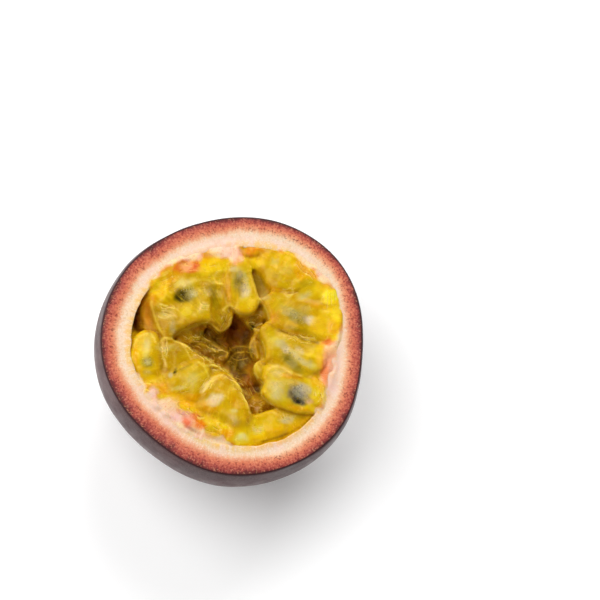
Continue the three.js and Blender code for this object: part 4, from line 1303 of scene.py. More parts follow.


# Stroke colours: the pale and golden ones are painted highlights on edges, wrinkles and the folds in the hollow; the
# brown ones are painted shade in creases and beside ridges.
RIM_HIGHLIGHT, FINE_HIGHLIGHT, FOLD_SHADE, SHADE = rgb(250, 222, 112), rgb(244, 214, 120), rgb(176, 122, 10), rgb(128, 88, 8)
DIM_HIGHLIGHT = rgb(230, 184, 74)

# More patches: the cream and near-white ones on N and J2 are painted highlights.
PATCHES += [
    (208, 290, 7, 3, 95, rgb(160, 126, 22), 0.5), (294, 383, 6, 3, -15, rgb(232, 184, 66), 0.6),
    (231, 379, 10, 3, -48, rgb(170, 120, 6), 0.6), (254, 311, 7, 4, 20, rgb(255, 208, 36), 0.8),
    (285, 309, 6, 3.5, -30, rgb(190, 154, 56), 0.5), (240, 274, 5, 3.5, 95, rgb(214, 202, 128), 0.65),
    (285, 350, 5, 3, -40, rgb(236, 214, 154), 0.6), (264, 262, 6, 4, 10, rgb(255, 226, 80), 0.6),
    (206, 387, 7, 2.4, 50, rgb(255, 224, 152), 0.8), (214, 380, 7, 3, 35, rgb(246, 204, 122), 0.6),
    (199, 425, 7, 4, -15, rgb(240, 138, 2), 0.9), (200, 270, 8, 3.5, 0, rgb(255, 196, 112), 0.7),
    (260, 284, 12, 4.2, -58, rgb(172, 138, 2), 0.85),
    (212, 272, 12, 7, 20, rgb(255, 222, 70), 0.6), (256, 262, 9, 5, 15, rgb(255, 214, 40), 0.6),
    (271, 257, 9, 4, 0, rgb(248, 200, 50), 0.5), (248, 300, 8, 5, 10, rgb(250, 216, 60), 0.6),
    (320, 322, 8, 10, 0, rgb(255, 208, 50), 0.65), (318, 330, 10, 5, -10, rgb(252, 206, 60), 0.6),
    (215, 400, 9, 5.5, 20, rgb(255, 236, 172), 0.8), (208, 403, 8, 3, 10, rgb(255, 200, 110), 0.5),
    (243, 436, 7, 4.5, 5, rgb(255, 240, 140), 0.95), (238, 441, 6, 3, 0, rgb(255, 226, 90), 0.7),
    (210, 421, 12, 5, -15, rgb(255, 208, 60), 0.7), (186, 404, 8, 5, -10, rgb(255, 190, 10), 0.85),
    (162, 293, 10, 5, 60, rgb(248, 194, 16), 0.6), (322, 350, 6, 7, 0, rgb(255, 214, 10), 0.8),
]

# Lines on the flesh: painted highlights along the sacs' bright edges and on their folds and wrinkles,
# and painted shade in the dark creases and grooves between them: points, width in picture points,
# colour, strength, least depth.
STROKES = [
    ([(151, 302), (153, 311), (156, 320), (160, 330), (165, 337)], 1.2, RIM_HIGHLIGHT, 0.7, -2),
    ([(171, 339), (178, 334), (184, 330), (190, 328), (200, 324), (208, 323), (214, 326), (220, 331), (226, 329),
      (230, 324), (232, 317)], 1.0, RIM_HIGHLIGHT, 0.6, -2),
    ([(223, 310), (227, 306), (231, 306), (234, 309), (239, 313)], 1.0, RIM_HIGHLIGHT, 0.8, -2),
    ([(248, 268), (252, 279), (256, 292), (259, 303), (257, 309)], 1.0, RIM_HIGHLIGHT, 0.6, -2),
    ([(257, 309), (250, 313), (242, 314), (236, 312)], 1.0, RIM_HIGHLIGHT, 0.45, -2),
    ([(260, 299), (264, 306), (268, 313), (269, 318)], 1.1, RIM_HIGHLIGHT, 0.9, -2),
    ([(252, 357), (250, 348), (252, 341), (256, 336)], 0.9, DIM_HIGHLIGHT, 0.8, 1),
    ([(262, 341), (265, 349), (266, 356)], 1.0, RIM_HIGHLIGHT, 0.7, -2),
    ([(264, 359), (259, 361), (255, 366), (255, 372), (258, 379), (263, 383)], 1.0, RIM_HIGHLIGHT, 0.7, -2),
    ([(263, 383), (261, 390), (262, 396), (267, 401), (274, 405)], 1.1, RIM_HIGHLIGHT, 0.8, -2),
    ([(268, 369), (275, 366), (283, 368), (291, 373)], 1.4, FINE_HIGHLIGHT, 0.7, -2),
    ([(205, 357), (213, 361)], 1.0, RIM_HIGHLIGHT, 0.7, -2),
    ([(204, 366), (213, 365), (222, 368), (230, 374), (237, 384), (246, 394)], 1.1, RIM_HIGHLIGHT, 0.75, -2),
    ([(224, 376), (232, 382), (239, 389)], 0.7, FINE_HIGHLIGHT, 0.4, -2),
    ([(241, 393), (246, 402), (250, 413)], 1.0, RIM_HIGHLIGHT, 0.6, -2),
    ([(159, 344), (165, 338), (174, 340), (183, 344), (192, 349), (200, 354), (206, 358), (211, 362)], 1.1, RIM_HIGHLIGHT, 0.8, -2),
    ([(163, 343), (162, 350), (164, 358), (167, 366)], 1.3, FINE_HIGHLIGHT, 0.75, -2),
    ([(167, 343), (165, 350), (167, 357)], 1.0, FINE_HIGHLIGHT, 0.6, -2),
    ([(182, 344), (187, 351), (191, 359)], 0.9, FINE_HIGHLIGHT, 0.5, -2),
    ([(199, 362), (205, 368), (209, 377)], 1.0, RIM_HIGHLIGHT, 0.6, -2),
    ([(201, 392), (206, 386), (211, 380), (217, 376), (223, 375)], 1.1, rgb(252, 226, 120), 0.75, -2),
    ([(134, 346), (138, 338), (146, 334), (152, 335), (156, 342)], 1.1, RIM_HIGHLIGHT, 0.85, -2),
    ([(140, 376), (134, 367), (132, 354)], 1.0, RIM_HIGHLIGHT, 0.4, -2),
    ([(189, 341), (197, 342), (206, 346), (213, 350), (218, 352)], 0.8, DIM_HIGHLIGHT, 0.55, 2),
    ([(196, 337), (204, 339), (212, 344), (221, 350)], 0.8, DIM_HIGHLIGHT, 0.7, 2),
    ([(190, 331), (191, 338), (190, 345)], 0.8, DIM_HIGHLIGHT, 0.6, 2),
    ([(226, 357), (230, 350), (238, 346), (248, 347)], 0.8, DIM_HIGHLIGHT, 0.75, 3),
    ([(228, 362), (232, 356), (238, 352), (244, 352)], 0.8, DIM_HIGHLIGHT, 0.6, 3),
    ([(236, 366), (237, 358), (241, 354)], 0.8, DIM_HIGHLIGHT, 0.5, 3),
    ([(240, 382), (246, 388), (251, 396)], 0.9, DIM_HIGHLIGHT, 0.7, 2),
    ([(245, 392), (253, 398), (262, 406)], 0.9, DIM_HIGHLIGHT, 0.6, 2),
    ([(250, 318), (247, 324), (252, 330)], 0.9, DIM_HIGHLIGHT, 0.6, 1),
    ([(244, 319), (249, 326), (256, 331), (258, 338)], 0.9, DIM_HIGHLIGHT, 0.6, 1),
    ([(279, 330), (288, 334), (297, 336), (307, 340), (318, 343)], 1.4, SHADE, 0.75, -2),
    ([(284, 336), (294, 338), (302, 342), (310, 343)], 0.9, FINE_HIGHLIGHT, 0.6, -2),
    ([(270, 406), (284, 410), (298, 414), (311, 415)], 1.3, FOLD_SHADE, 0.7, -2),
    ([(262, 441), (276, 437), (290, 432), (303, 425), (314, 414)], 1.2, SHADE, 0.6, -2),
    ([(212, 297), (211, 309), (212, 322)], 1.3, FOLD_SHADE, 0.6, -2),
    ([(227, 285), (226, 296), (224, 305)], 1.2, FOLD_SHADE, 0.45, -2),
    ([(177, 371), (184, 368), (191, 364)], 1.6, rgb(150, 116, 8), 0.35, -2),
    ([(186, 399), (196, 401), (204, 397)], 1.4, FOLD_SHADE, 0.4, -2),
    ([(268, 323), (278, 330)], 1.2, FOLD_SHADE, 0.6, -2),
    ([(286, 374), (298, 377), (312, 377)], 1.6, FOLD_SHADE, 0.6, -2),
    ([(272, 290), (284, 292), (294, 292), (300, 288)], 1.2, FOLD_SHADE, 0.5, -2),
    ([(160, 304), (166, 306), (172, 308)], 0.9, FINE_HIGHLIGHT, 0.8, -2),
    ([(159, 317), (166, 318), (172, 315), (177, 317)], 1.0, FINE_HIGHLIGHT, 0.85, -2),
    ([(163, 311), (170, 312), (175, 315)], 0.8, FINE_HIGHLIGHT, 0.7, -2),
    ([(200, 310), (201, 305), (204, 303), (207, 305), (207, 310)], 1.0, FINE_HIGHLIGHT, 0.8, -2),
    ([(222, 283), (217, 283), (214, 277), (217, 272), (221, 270)], 1.0, RIM_HIGHLIGHT, 0.8, -2),
    ([(197, 281), (203, 279), (210, 281)], 0.9, RIM_HIGHLIGHT, 0.6, -2),
    ([(284, 293), (289, 297), (293, 293), (293, 290)], 0.9, FINE_HIGHLIGHT, 0.7, -2),
    ([(283, 282), (289, 280), (294, 281)], 0.8, FINE_HIGHLIGHT, 0.6, -2),
    ([(314, 381), (318, 386), (318, 393), (315, 398)], 0.9, RIM_HIGHLIGHT, 0.7, -2),
    ([(321, 383), (324, 390), (321, 398), (316, 403)], 0.9, RIM_HIGHLIGHT, 0.7, -2),
    ([(326, 388), (327, 396), (321, 405)], 0.9, RIM_HIGHLIGHT, 0.6, -2),
    ([(322, 281), (328, 290), (331, 299)], 1.0, RIM_HIGHLIGHT, 0.4, -2),
    ([(322, 303), (330, 306), (337, 304)], 1.2, FOLD_SHADE, 0.5, -2),
    ([(320, 310), (330, 312), (338, 310)], 1.0, RIM_HIGHLIGHT, 0.5, -2),
    ([(155, 281), (160, 285), (161, 292)], 0.9, RIM_HIGHLIGHT, 0.5, -2),
    ([(163, 272), (166, 280), (165, 290)], 1.0, RIM_HIGHLIGHT, 0.5, -2),
    ([(172, 271), (173, 279), (170, 287)], 1.0, FOLD_SHADE, 0.35, -2),
    ([(200, 420), (210, 422), (222, 428)], 1.0, RIM_HIGHLIGHT, 0.5, -2),
    ([(204, 428), (214, 430), (226, 437)], 1.1, FOLD_SHADE, 0.5, -2),
    ([(143, 383), (147, 391), (152, 396), (158, 399)], 1.0, FOLD_SHADE, 0.4, -2),
    ([(139, 299), (140, 309), (144, 322), (150, 334)], 1.2, FOLD_SHADE, 0.6, -2),
    ([(272, 257), (275, 260), (279, 258)], 1.0, FINE_HIGHLIGHT, 0.6, -2),
    ([(253, 427), (257, 431), (261, 428)], 0.9, FINE_HIGHLIGHT, 0.8, -2),
    ([(283, 414), (288, 420), (292, 416)], 0.9, FINE_HIGHLIGHT, 0.6, -2),
]


# Colours in the hollow, as PATCHES, for flesh that lies deeper: the juice's deeper amber and olive,
# with painted shade in the darkest strips, under the edge of A1, beside the overhanging edge of I, in
# the well and at the foot of the left gap, and two pale dots that are painted highlights.
DEEP_PATCHES = [
    (238, 328, 10, 16, 0, rgb(178, 98, 28), 0.95), (232, 342, 8, 8, 0, rgb(160, 96, 12), 0.8),
    (246, 339, 7, 9, 0, rgb(92, 50, 10), 0.9), (206, 328, 16, 3, 0, rgb(196, 126, 28), 0.8),
    (214, 331, 10, 4, -20, rgb(134, 88, 12), 0.75), (202, 334, 8, 4, -10, rgb(118, 90, 12), 0.8),
    (202, 342, 16, 7, -15, rgb(168, 134, 22), 0.85), (216, 350, 12, 6, -30, rgb(128, 94, 12), 0.9),
    (214, 338, 9, 7, 0, rgb(136, 100, 14), 0.7), (180, 340, 8, 4, 0, rgb(190, 140, 16), 0.7),
    (176, 336, 9, 5, 20, rgb(206, 156, 14), 0.85), (230, 352, 6, 5, 0, rgb(140, 98, 14), 0.7),
    (238, 362, 12, 11, 0, rgb(116, 90, 8), 0.9), (243, 364, 3, 4, 0, rgb(176, 148, 84), 0.7),
    (237, 350, 10, 4, 15, rgb(126, 94, 10), 0.8), (250, 356, 5, 9, 0, rgb(120, 86, 14), 0.7),
    (241, 375, 10, 6, -30, rgb(92, 58, 4), 0.85), (250, 386, 11, 9, -50, rgb(176, 106, 4), 0.9),
    (258, 389, 4, 10, 20, rgb(80, 36, 0), 0.85), (249, 398, 8, 6, 0, rgb(176, 124, 20), 0.8),
    (260, 405, 10, 7, 0, rgb(206, 156, 30), 0.85), (257, 408, 3, 3, 0, rgb(236, 190, 130), 0.7),
    (254, 312, 8, 5, 20, rgb(250, 200, 30), 0.9), (256, 323, 9, 6, 0, rgb(136, 95, 6), 0.8),
    (258, 347, 6, 10, 0, rgb(186, 142, 12), 0.75), (261, 285, 9, 16, -62, rgb(176, 140, 8), 0.95),
    (251, 249, 15, 6, 5, rgb(238, 142, 12), 0.95), (145, 312, 18, 5, 100, rgb(246, 164, 2), 0.9),
    (139, 325, 10, 4, 95, rgb(150, 84, 10), 0.9), (222, 368, 10, 4, -38, rgb(206, 152, 18), 0.8),
    (232, 380, 10, 3, -50, rgb(152, 96, 2), 0.8),
]

# Where the skin of the flesh is crumpled like film, and where the pitted seeds show through: ellipses as in
# PATCHES, with a strength.
CRUMPLED = [
    (205, 342, 22, 9, -22, 1.0), (222, 352, 10, 8, 0, 0.9), (238, 355, 14, 11, 0, 0.9), (248, 395, 12, 9, -60, 1.0),
    (240, 385, 10, 6, -50, 1.0), (258, 322, 10, 9, 0, 0.8), (225, 318, 12, 6, 70, 0.7), (214, 366, 13, 5, -30, 1.0),
    (206, 386, 8, 8, 45, 0.9), (186, 387, 8, 5, 30, 0.8), (165, 351, 12, 5, 85, 0.9), (167, 311, 9, 7, 0, 0.8),
    (204, 306, 6, 6, 0, 0.7), (168, 280, 14, 9, 30, 0.45), (190, 268, 12, 6, 0, 0.5), (212, 270, 10, 10, 0, 0.45),
    (224, 254, 16, 6, 0, 0.6), (290, 291, 10, 4, 0, 0.7), (300, 268, 14, 6, -62, 0.6), (312, 276, 10, 8, -40, 0.7),
    (330, 300, 12, 8, 85, 0.7), (300, 338, 20, 5, -12, 0.7), (264, 303, 9, 5, -60, 0.6), (320, 393, 15, 7, 80, 0.9),
    (275, 372, 8, 5, 0, 0.5), (190, 415, 20, 9, -30, 0.9), (215, 428, 20, 7, -15, 0.7), (258, 429, 8, 6, 0, 0.6),
    (287, 418, 8, 5, 0, 0.6), (148, 385, 8, 8, 0, 0.6), (198, 354, 18, 4, -35, 0.8), (232, 380, 14, 4, -50, 0.8),
    (330, 330, 12, 6, 85, 0.5), (276, 340, 8, 5, 0, 0.3), (244, 308, 14, 4, 0, 0.4), (260, 405, 10, 7, 0, 0.8),
]
PITTED = [
    (190, 293, 8, 7, 0, 1.0), (180, 290, 6, 5, 0, 0.6), (299, 391, 9, 7, -30, 1.0), (303, 398, 6, 5, 0, 0.6),
    (148, 362, 6, 6, 0, 0.8), (243, 284, 6, 11, 8, 0.6), (298, 316, 13, 5, -28, 0.7), (292, 355, 12, 4, -42, 0.8),
    (206, 290, 5, 8, 0, 0.4), (173, 325, 5, 9, 0, 0.4), (286, 417, 7, 4, 0, 0.5),
]


def mask(verts, table):
    """How far points lie in a table's ellipses, from 0 to 1."""
    pic = to_picture(verts)
    pic = pic + 1.5 * np.stack([warp_b.at(verts + 5, 1.4), warp_a.at(verts + 8, 1.4)], -1)
    out = np.zeros(len(verts))
    for px, py, a, b, d, strength in table:
        away = pic - [px, py]
        c, s = math.cos(math.radians(d)), -math.sin(math.radians(d))
        u, v = (away[:, 0] * c + away[:, 1] * s) / a, (-away[:, 0] * s + away[:, 1] * c) / b
        out = np.maximum(out, strength * smooth(1.35, 0.55, np.sqrt(u * u + v * v)))
    return out


def strokes(colour, verts):
    pic = to_picture(verts)
    pic = pic + 0.5 * np.stack([fine_a.at(verts + 3, 0.6), fine_a.at(verts + 33, 0.6)], -1)
    depth = -verts[:, 2]
    for pts, width, c, strength, least in STROKES:
        line = rounded_line(np.array(pts, float))
        lo, hi = line.min(0) - 3, line.max(0) + 3
        near = np.where((pic > lo).all(1) & (pic < hi).all(1) & (depth > least) & (depth < least + 12))[0]
        d = to_segments(line, pic[near, 0], pic[near, 1])
        f = strength * np.exp(-(d / width) ** 2)[:, None]
        colour[near] = colour[near] * (1 - f) + np.array(c) * f
    return colour


# Seeds that show, round which the patches aren't moved about much: picture point and reach.
STEADY = [(300, 396, 15), (181, 296, 13), (240, 285, 12), (300, 318, 12), (293, 358, 12), (148, 354, 16), (174, 373, 6)]


def patches(p, table, shallow, deep):
    """The colour and strength that the patches lay over points of the flesh between two depths."""
    pic = to_picture(p)
    flat = p * [1, 1, 0.6]
    wob = np.stack([warp_b.at(flat + 5, 2.3), warp_a.at(flat + 8, 2.3)], -1) * 3.4
    wob += np.stack([warp_b.at(flat + 15, 1.0), warp_a.at(flat + 18, 1.0)], -1) * 1.8
    fuzz = np.stack([fine_a.at(flat + 5, 0.5), fine_a.at(flat + 28, 0.5)], -1) * 0.5
    out = []
    for px, py, a, b, d, colour, strength in table:
        steady = any(math.hypot(px - x, py - y) < reach for x, y, reach in STEADY)
        away = pic + wob * min(1.0, min(a, b) / 7) * (0.25 if steady else 1.0) + fuzz - [px, py]
        near = np.where((np.abs(away).max(1) < 1.5 * max(a, b)) & (-p[:, 2] < deep) & (-p[:, 2] > shallow))[0]
        c, s = math.cos(math.radians(d)), -math.sin(math.radians(d))
        u = (away[near, 0] * c + away[near, 1] * s) / a
        v = (-away[near, 0] * s + away[near, 1] * c) / b
        f = strength * smooth(1.45, 0.3, np.sqrt(u * u + v * v))
        f = f * smooth(deep, deep - 1.5, -p[near, 2]) * smooth(shallow, shallow + 0.8, -p[near, 2])
        out.append((near, f, colour))
    return out


def waves(p):
    """A phase whose crests are the creases of crumpled film: along each crumpled spot, else round the hollow."""
    pic = to_picture(p)
    way = 0.05 * 0.5 * (np.hypot(p[:, 0] - 1.0, p[:, 1] + 1.5) - 10.0)
    total = np.full(len(p), 0.05)
    for px, py, a, b, d, _ in CRUMPLED:
        away = pic - [px, py]
        c, s = math.cos(math.radians(d)), -math.sin(math.radians(d))
        u, v = away[:, 0] * c + away[:, 1] * s, -away[:, 0] * s + away[:, 1] * c
        w = smooth(1.6, 0.5, np.sqrt((u / a) ** 2 + (v / b) ** 2)) ** 2
        way += w * v * PX
        total += w
    way = way / total + 0.8 * warp_a.at(p + 50, 3.2) + 0.28 * warp_b.at(p + 51, 1.3)
    return 2 * math.pi * way / 0.95


def juicy(colour):
    """Less blue in what is yellow, as light through juice has; what is pale stays."""
    share = colour[:, 2] / np.maximum(colour[:, 0], 1e-4)
    out = colour * [0.86, 0.85, 1]
    out[:, 2] *= 0.25 + 0.75 * smooth(0.03, 0.28, share)
    return out


def flesh_colours(field, verts, sacs):
    q = warped(verts.astype(np.float32))
    n = len(verts)
    base = mix(hue_of(1.0), hue_of(2.8), smooth(1.6, 3.0, -verts[:, 2]))
    weight, colour = np.full(n, 0.03), base * 0.03
    for s in sacs:
        lo = np.append(s["plan"].low + 1.0, -s["low"] - 2)
        hi = np.append(s["plan"].high - 1.0, -s["top"] + 2)
        near = np.where(((q > lo) & (q < hi)).all(1))[0]
        d = sac_distance(s)(q[near])
        sd = s["plan"].at(q[near, 0], q[near, 1])
        w = np.exp(-np.clip(d + 0.15, -0.6, 6) / 0.35)
        edge = smooth(-2.2, -0.3, sd)[:, None] * 0.75
        weight[near] += w
        tone = hue_of(s["hue"]) * (1 - edge) + hue_of(s["hue"] + 0.9) * edge
        colour[near] += w[:, None] * tone * s.get("light", 1.0)
    colour /= weight[:, None]
    # painted light: the flesh near the wall is made brighter, as if lit through the jelly, except at the gap on the
    # left
    angle = np.arctan2(verts[:, 1], verts[:, 0])
    u = inner_radius(angle, 0 * angle) - np.hypot(verts[:, 0], verts[:, 1])
    gap = np.exp(-(np.angle(np.exp(1j * (angle - math.radians(161)))) / math.radians(16)) ** 2)
    glow = smooth(5.5, 1.2, u + 0.8 * warp_a.at(verts, 2.4)) * (1 - gap) * smooth(2.5, 1.0, -verts[:, 2])
    colour = colour * (1 + np.array([0.24, 0.25, 0.1]) * glow[:, None])
    # streaks of cloudier and deeper jelly that run from the wall inward
    a, r = np.arctan2(verts[:, 1] + 1.5, verts[:, 0] - 1.0), np.hypot(verts[:, 0] - 1.0, verts[:, 1] + 1.5)
    way = np.stack([14 * np.cos(a), 14 * np.sin(a), 0.3 * r + 0.4 * verts[:, 2]], 1)
    pale = 0.35 * smooth(0.05, 0.5, warp_b.many(way, 1.5, 3))[:, None]
    colour = colour * (1 - pale) + np.array(rgb(232, 202, 52)) * pale
    gold = 0.4 * smooth(0.05, 0.5, warp_a.many(way + 30, 1.9, 3))[:, None]
    colour = colour * (1 - gold) + np.array(rgb(206, 150, 4)) * gold
    # how far points lie in creases and on thin free edges, for painted shade in the creases and painted highlights on
    # the edges
    _, g = field.sample(verts)
    g = g / np.maximum(np.sqrt((g * g).sum(1)), 1e-6)[:, None]
    out, _ = field.sample(verts + g * 0.7)
    ins, _ = field.sample(verts - g * 0.6)
    crease_shade = np.clip((0.7 - out) / 0.5, 0, 1)
    edge = np.clip((0.6 + ins) / 0.35, 0, 1)
    return colour, crease_shade, edge, g


def paint(colour, verts, table=PATCHES, shallow=-3.0, deep=4.2):
    for near, f, c in patches(verts, table, shallow, deep):
        colour[near] = colour[near] * (1 - f[:, None]) + np.array(c) * f[:, None]
    return colour


def sacs_object():
    field, verts, quads = sacs_piece()
    colour, crease_shade, edge, g = flesh_colours(field, verts, SACS + LOW_SACS)
    depth = -verts[:, 2]
    # darker amber with depth: partly the deeper juice's own tone, partly painted shade in the hollow
    deep = smooth(1.5, 6.5, depth)[:, None]
    colour = colour * (1 - 0.65 * deep) + np.array(AMBER) * 0.65 * deep
    colour = paint(paint(colour, verts), verts, DEEP_PATCHES, 1.2, 40.0)
    colour = strokes(colour, verts)
    # painted highlight on thin free edges near the cut that face sideways, then painted shade in the creases
    edge_highlight = (edge * smooth(0.5, 0.1, np.abs(g[:, 2])) * smooth(3.0, 0.5, depth))[:, None]
    colour = colour * (1 - 0.5 * edge_highlight) + np.array(rgb(246, 214, 96)) * 0.5 * edge_highlight
    dark = (crease_shade * 0.4)[:, None]
    colour = colour * (1 - dark) + colour * np.array(rgb(214, 150, 60)) * dark
    colour = juicy(colour)
    # the tissue
    line = Plan(EDGE_LINE, 0.0)
    fray = frayed(verts)
    sd = line.at(verts[:, 0], verts[:, 1]) + fray - 1.5 * smooth(1.6, 3.0, depth)
    spots = fine_a.many(verts + 40, 1.3, 3)
    share = tissue_share(verts, fray)
    cream = mix(np.array(shown(254, 222, 172, 1.16)), np.array(shown(252, 206, 176, 1.16)), smooth(-0.1, 0.4, spots))
    flesh = 1 - smooth(-0.4, 0.4, sd) * share
    colour = mix(cream, colour, flesh)
    near_edge = smooth(2.0, 1.0, depth) * (0.25 + 0.75 * share)
    orange = 0.65 * smooth(-1.2, -0.2, sd) * smooth(0.8, 0.0, sd) * smooth(-0.25, 0.4, spots) * near_edge
    colour = mix(colour, np.array(shown(244, 150, 40)), orange)
    gold = 0.6 * smooth(-2.6, -1.2, sd) * smooth(-0.2, -0.9, sd) * smooth(0.1, -0.4, spots) * near_edge
    colour = mix(colour, np.array(shown(252, 212, 40)), gold)
    colour = paint(colour, verts, [(*row[:5], tuple(np.array(row[5]) / 1.12), row[6]) for row in TISSUE_PATCHES], -3.0, 2.6)
    ob = new_mesh("juice_sacs", verts, quads, {
        "crumpled": mask(verts, CRUMPLED), "pitted": mask(verts, PITTED) * smooth(3.0, 1.5, depth),
        "deep": np.maximum(smooth(2.0, 6.0, depth), 0.7 * mask(verts, [(148, 312, 26, 8, 100, 1.0), (260, 286, 15, 8, -62, 1.0)])), "flesh": flesh, "wave": waves(verts)},
        {"tint": colour})
    add_spokes(ob, verts, np.maximum(0, 22 - np.hypot(verts[:, 0], verts[:, 1])) - 0.6 * verts[:, 2])
    return ob


def core_object():
    field, verts, quads = core_piece()
    depth = -verts[:, 2]
    n = warp_a.many(verts, 4.0, 2)[:, None]
    colour = np.array(rgb(150, 92, 10)) * (1 - 0.5 * smooth(-0.5, 0.5, n)) + np.array(rgb(140, 112, 22)) * 0.5 * smooth(-0.5, 0.5, n)
    # darker brown towards the bottom of the well: partly the deep juice's own tone, partly painted shade
    well = smooth(6.0, 15.0, depth)[:, None]
    colour = colour * (1 - 0.8 * well) + np.array(rgb(96, 56, 8)) * 0.8 * well
    colour = strokes(paint(colour, verts, DEEP_PATCHES, 1.2, 40.0), verts)
    ob = new_mesh("pulp_core", verts, quads, {
        "crumpled": mask(verts, CRUMPLED), "pitted": 0 * depth, "deep": smooth(2.0, 6.0, depth),
        "flesh": 0 * depth + 1, "wave": waves(verts)}, {"tint": juicy(colour)})
    add_spokes(ob, verts, np.maximum(0, 22 - np.hypot(verts[:, 0], verts[:, 1])) - 0.6 * verts[:, 2])
    return ob


def flesh_material(name, weight):
    t = Tree(name)
    tint, crumpled, pitted, deep = t.colour("tint"), t.number("crumpled"), t.number("pitted"), t.number("deep")
    soft = t.noise(2.6, 3, 0.5)
    small = t.noise(0.7, 4, 0.6)
    colour = t.mixed(t.map(small, 0.52, 0.78, 0, 0.22), tint, rgb(248, 212, 30))
    colour = t.mixed(t.map(small, 0.2, 0.45, 0.2, 0), colour, rgb(168, 116, 6))
    # fibres that run in from the wall
    spoke = t.add("ShaderNodeAttribute", attribute_name="spoke").outputs["Vector"]
    flesh = t.number("flesh")
    wide = t.noise(1.5, 3, 0.55, spoke)
    thin = t.noise(0.5, 2, 0.5, spoke)
    plain = t.math("SUBTRACT", 1.0, pitted)
    # where the flesh lies deep the streaks take darker copies of their colours: partly the juice's deeper tone, partly
    # painted shade in the hollow
    colour = t.mixed(t.math("MULTIPLY", plain, t.map(wide, 0.52, 0.68, 0, 0.16)), colour, t.mixed(deep, rgb(206, 142, 0), rgb(110, 66, 4)))
    colour = t.mixed(t.math("MULTIPLY", plain, t.map(wide, 0.46, 0.32, 0, 0.18)), colour, t.mixed(deep, rgb(248, 206, 24), rgb(176, 134, 24)))
    colour = t.mixed(t.math("MULTIPLY", plain, t.map(thin, 0.56, 0.70, 0, 0.16)), colour, t.mixed(deep, rgb(252, 216, 50), rgb(170, 128, 30)))
    colour = t.mixed(t.math("MULTIPLY", plain, t.map(thin, 0.44, 0.32, 0, 0.14)), colour, t.mixed(deep, rgb(186, 124, 0), rgb(80, 46, 4)))
    # frayed tissue
    fibre = t.noise(0.36, 3, 0.65, spoke)
    speck = t.noise(0.42, 3, 0.65)
    web = t.mixed(t.map(fibre, 0.52, 0.66, 0, 0.6), tint, (0.30, 0.24, 0.17), "SCREEN")
    web = t.mixed(t.map(fibre, 0.34, 0.46, 0.5, 0), web, (0.93, 0.72, 0.55), "MULTIPLY")
    web = t.mixed(t.map(speck, 0.56, 0.66, 0, 0.5), web, (1.0, 0.88, 0.62), "MULTIPLY")
    web = t.mixed(t.map(speck, 0.34, 0.46, 0.7, 0), web, (0.93, 0.66, 0.50), "MULTIPLY")
    colour = t.mixed(flesh, web, colour)
    # crumpled film: painted highlights on the crests with painted shade in the lines beside them, then small painted
    # glints
    broken = t.map(t.noise(1.3, 2, 0.5), 0.42, 0.56)
    amount = t.math("MULTIPLY", t.math("MULTIPLY", t.math("MAXIMUM", crumpled, 0.10), flesh), broken)
    phase = t.number("wave")
    line = t.math("MULTIPLY", t.map(t.math("SINE", phase), 0.62, 0.97), amount)
    crest_side_shade = t.math("MULTIPLY", t.map(t.math("SINE", t.math("ADD", phase, 1.2)), 0.55, 0.97), amount)
    colour = t.mixed(t.math("MULTIPLY", crest_side_shade, 0.6), colour, (0.52, 0.36, 0.16), "MULTIPLY")
    crest_highlight = t.math("MULTIPLY", line, t.map(deep, 0, 1, 0.62, 0.75))
    colour = t.mixed(crest_highlight, colour, t.mixed(deep, rgb(254, 226, 118), rgb(224, 176, 52)))
    glint = t.math("MULTIPLY", t.map(t.noise(0.36, 2, 0.6), 0.58, 0.70), t.math("MULTIPLY", crumpled, flesh))
    colour = t.mixed(t.math("MULTIPLY", glint, 0.5), colour, t.mixed(deep, rgb(255, 230, 140), rgb(222, 178, 76)))
    # pits of the seeds: pale dots on grey
    dots = t.map(t.cells(0.42), 0.08, 0.30, 1, 0)
    colour = t.mixed(t.math("MULTIPLY", t.math("MULTIPLY", dots, pitted), 0.55), colour, rgb(236, 228, 196))
    pits = t.map(t.noise(0.45, 2, 0.5), 0.52, 0.62)
    colour = t.mixed(t.math("MULTIPLY", t.math("MULTIPLY", pits, pitted), 0.45), colour, rgb(66, 62, 40))
    ripple = t.bump(t.noise(1.3, 2, 0.5, distortion=0.5), 0.14, 0.30)
    ripple = t.bump(t.noise(0.45, 2, 0.5), 0.05, 0.34, ripple)
    ripple = t.bump(line, 0.12, 0.6, ripple)
    shreds = t.bump(speck, 0.10, 0.5, t.bump(fibre, 0.12, 0.6))
    normal = t.add("ShaderNodeMix", data_type="VECTOR")
    t.put(normal.inputs[0], flesh)
    t.put(normal.inputs[4], shreds)
    t.put(normal.inputs[5], ripple)
    gloss = t.math("ADD", t.map(soft, 0.3, 0.7, 0.14, 0.3), t.math("MULTIPLY", deep, 0.3))
    gloss = t.math("ADD", gloss, t.map(flesh, 0, 1, 0.30, 0))
    t.principled(
        Base_Color=colour, Normal=normal.outputs[1], IOR=1.28, Roughness=gloss,
        Subsurface_Weight=t.map(flesh, 0, 1, 0.15, 0.85), Subsurface_Radius=(1.0, 0.7, 0.12), Subsurface_Scale=0.0013,
        Transmission_Weight=weight, Specular_Tint=(1.0, 0.86, 0.55),
    )
    return t.material


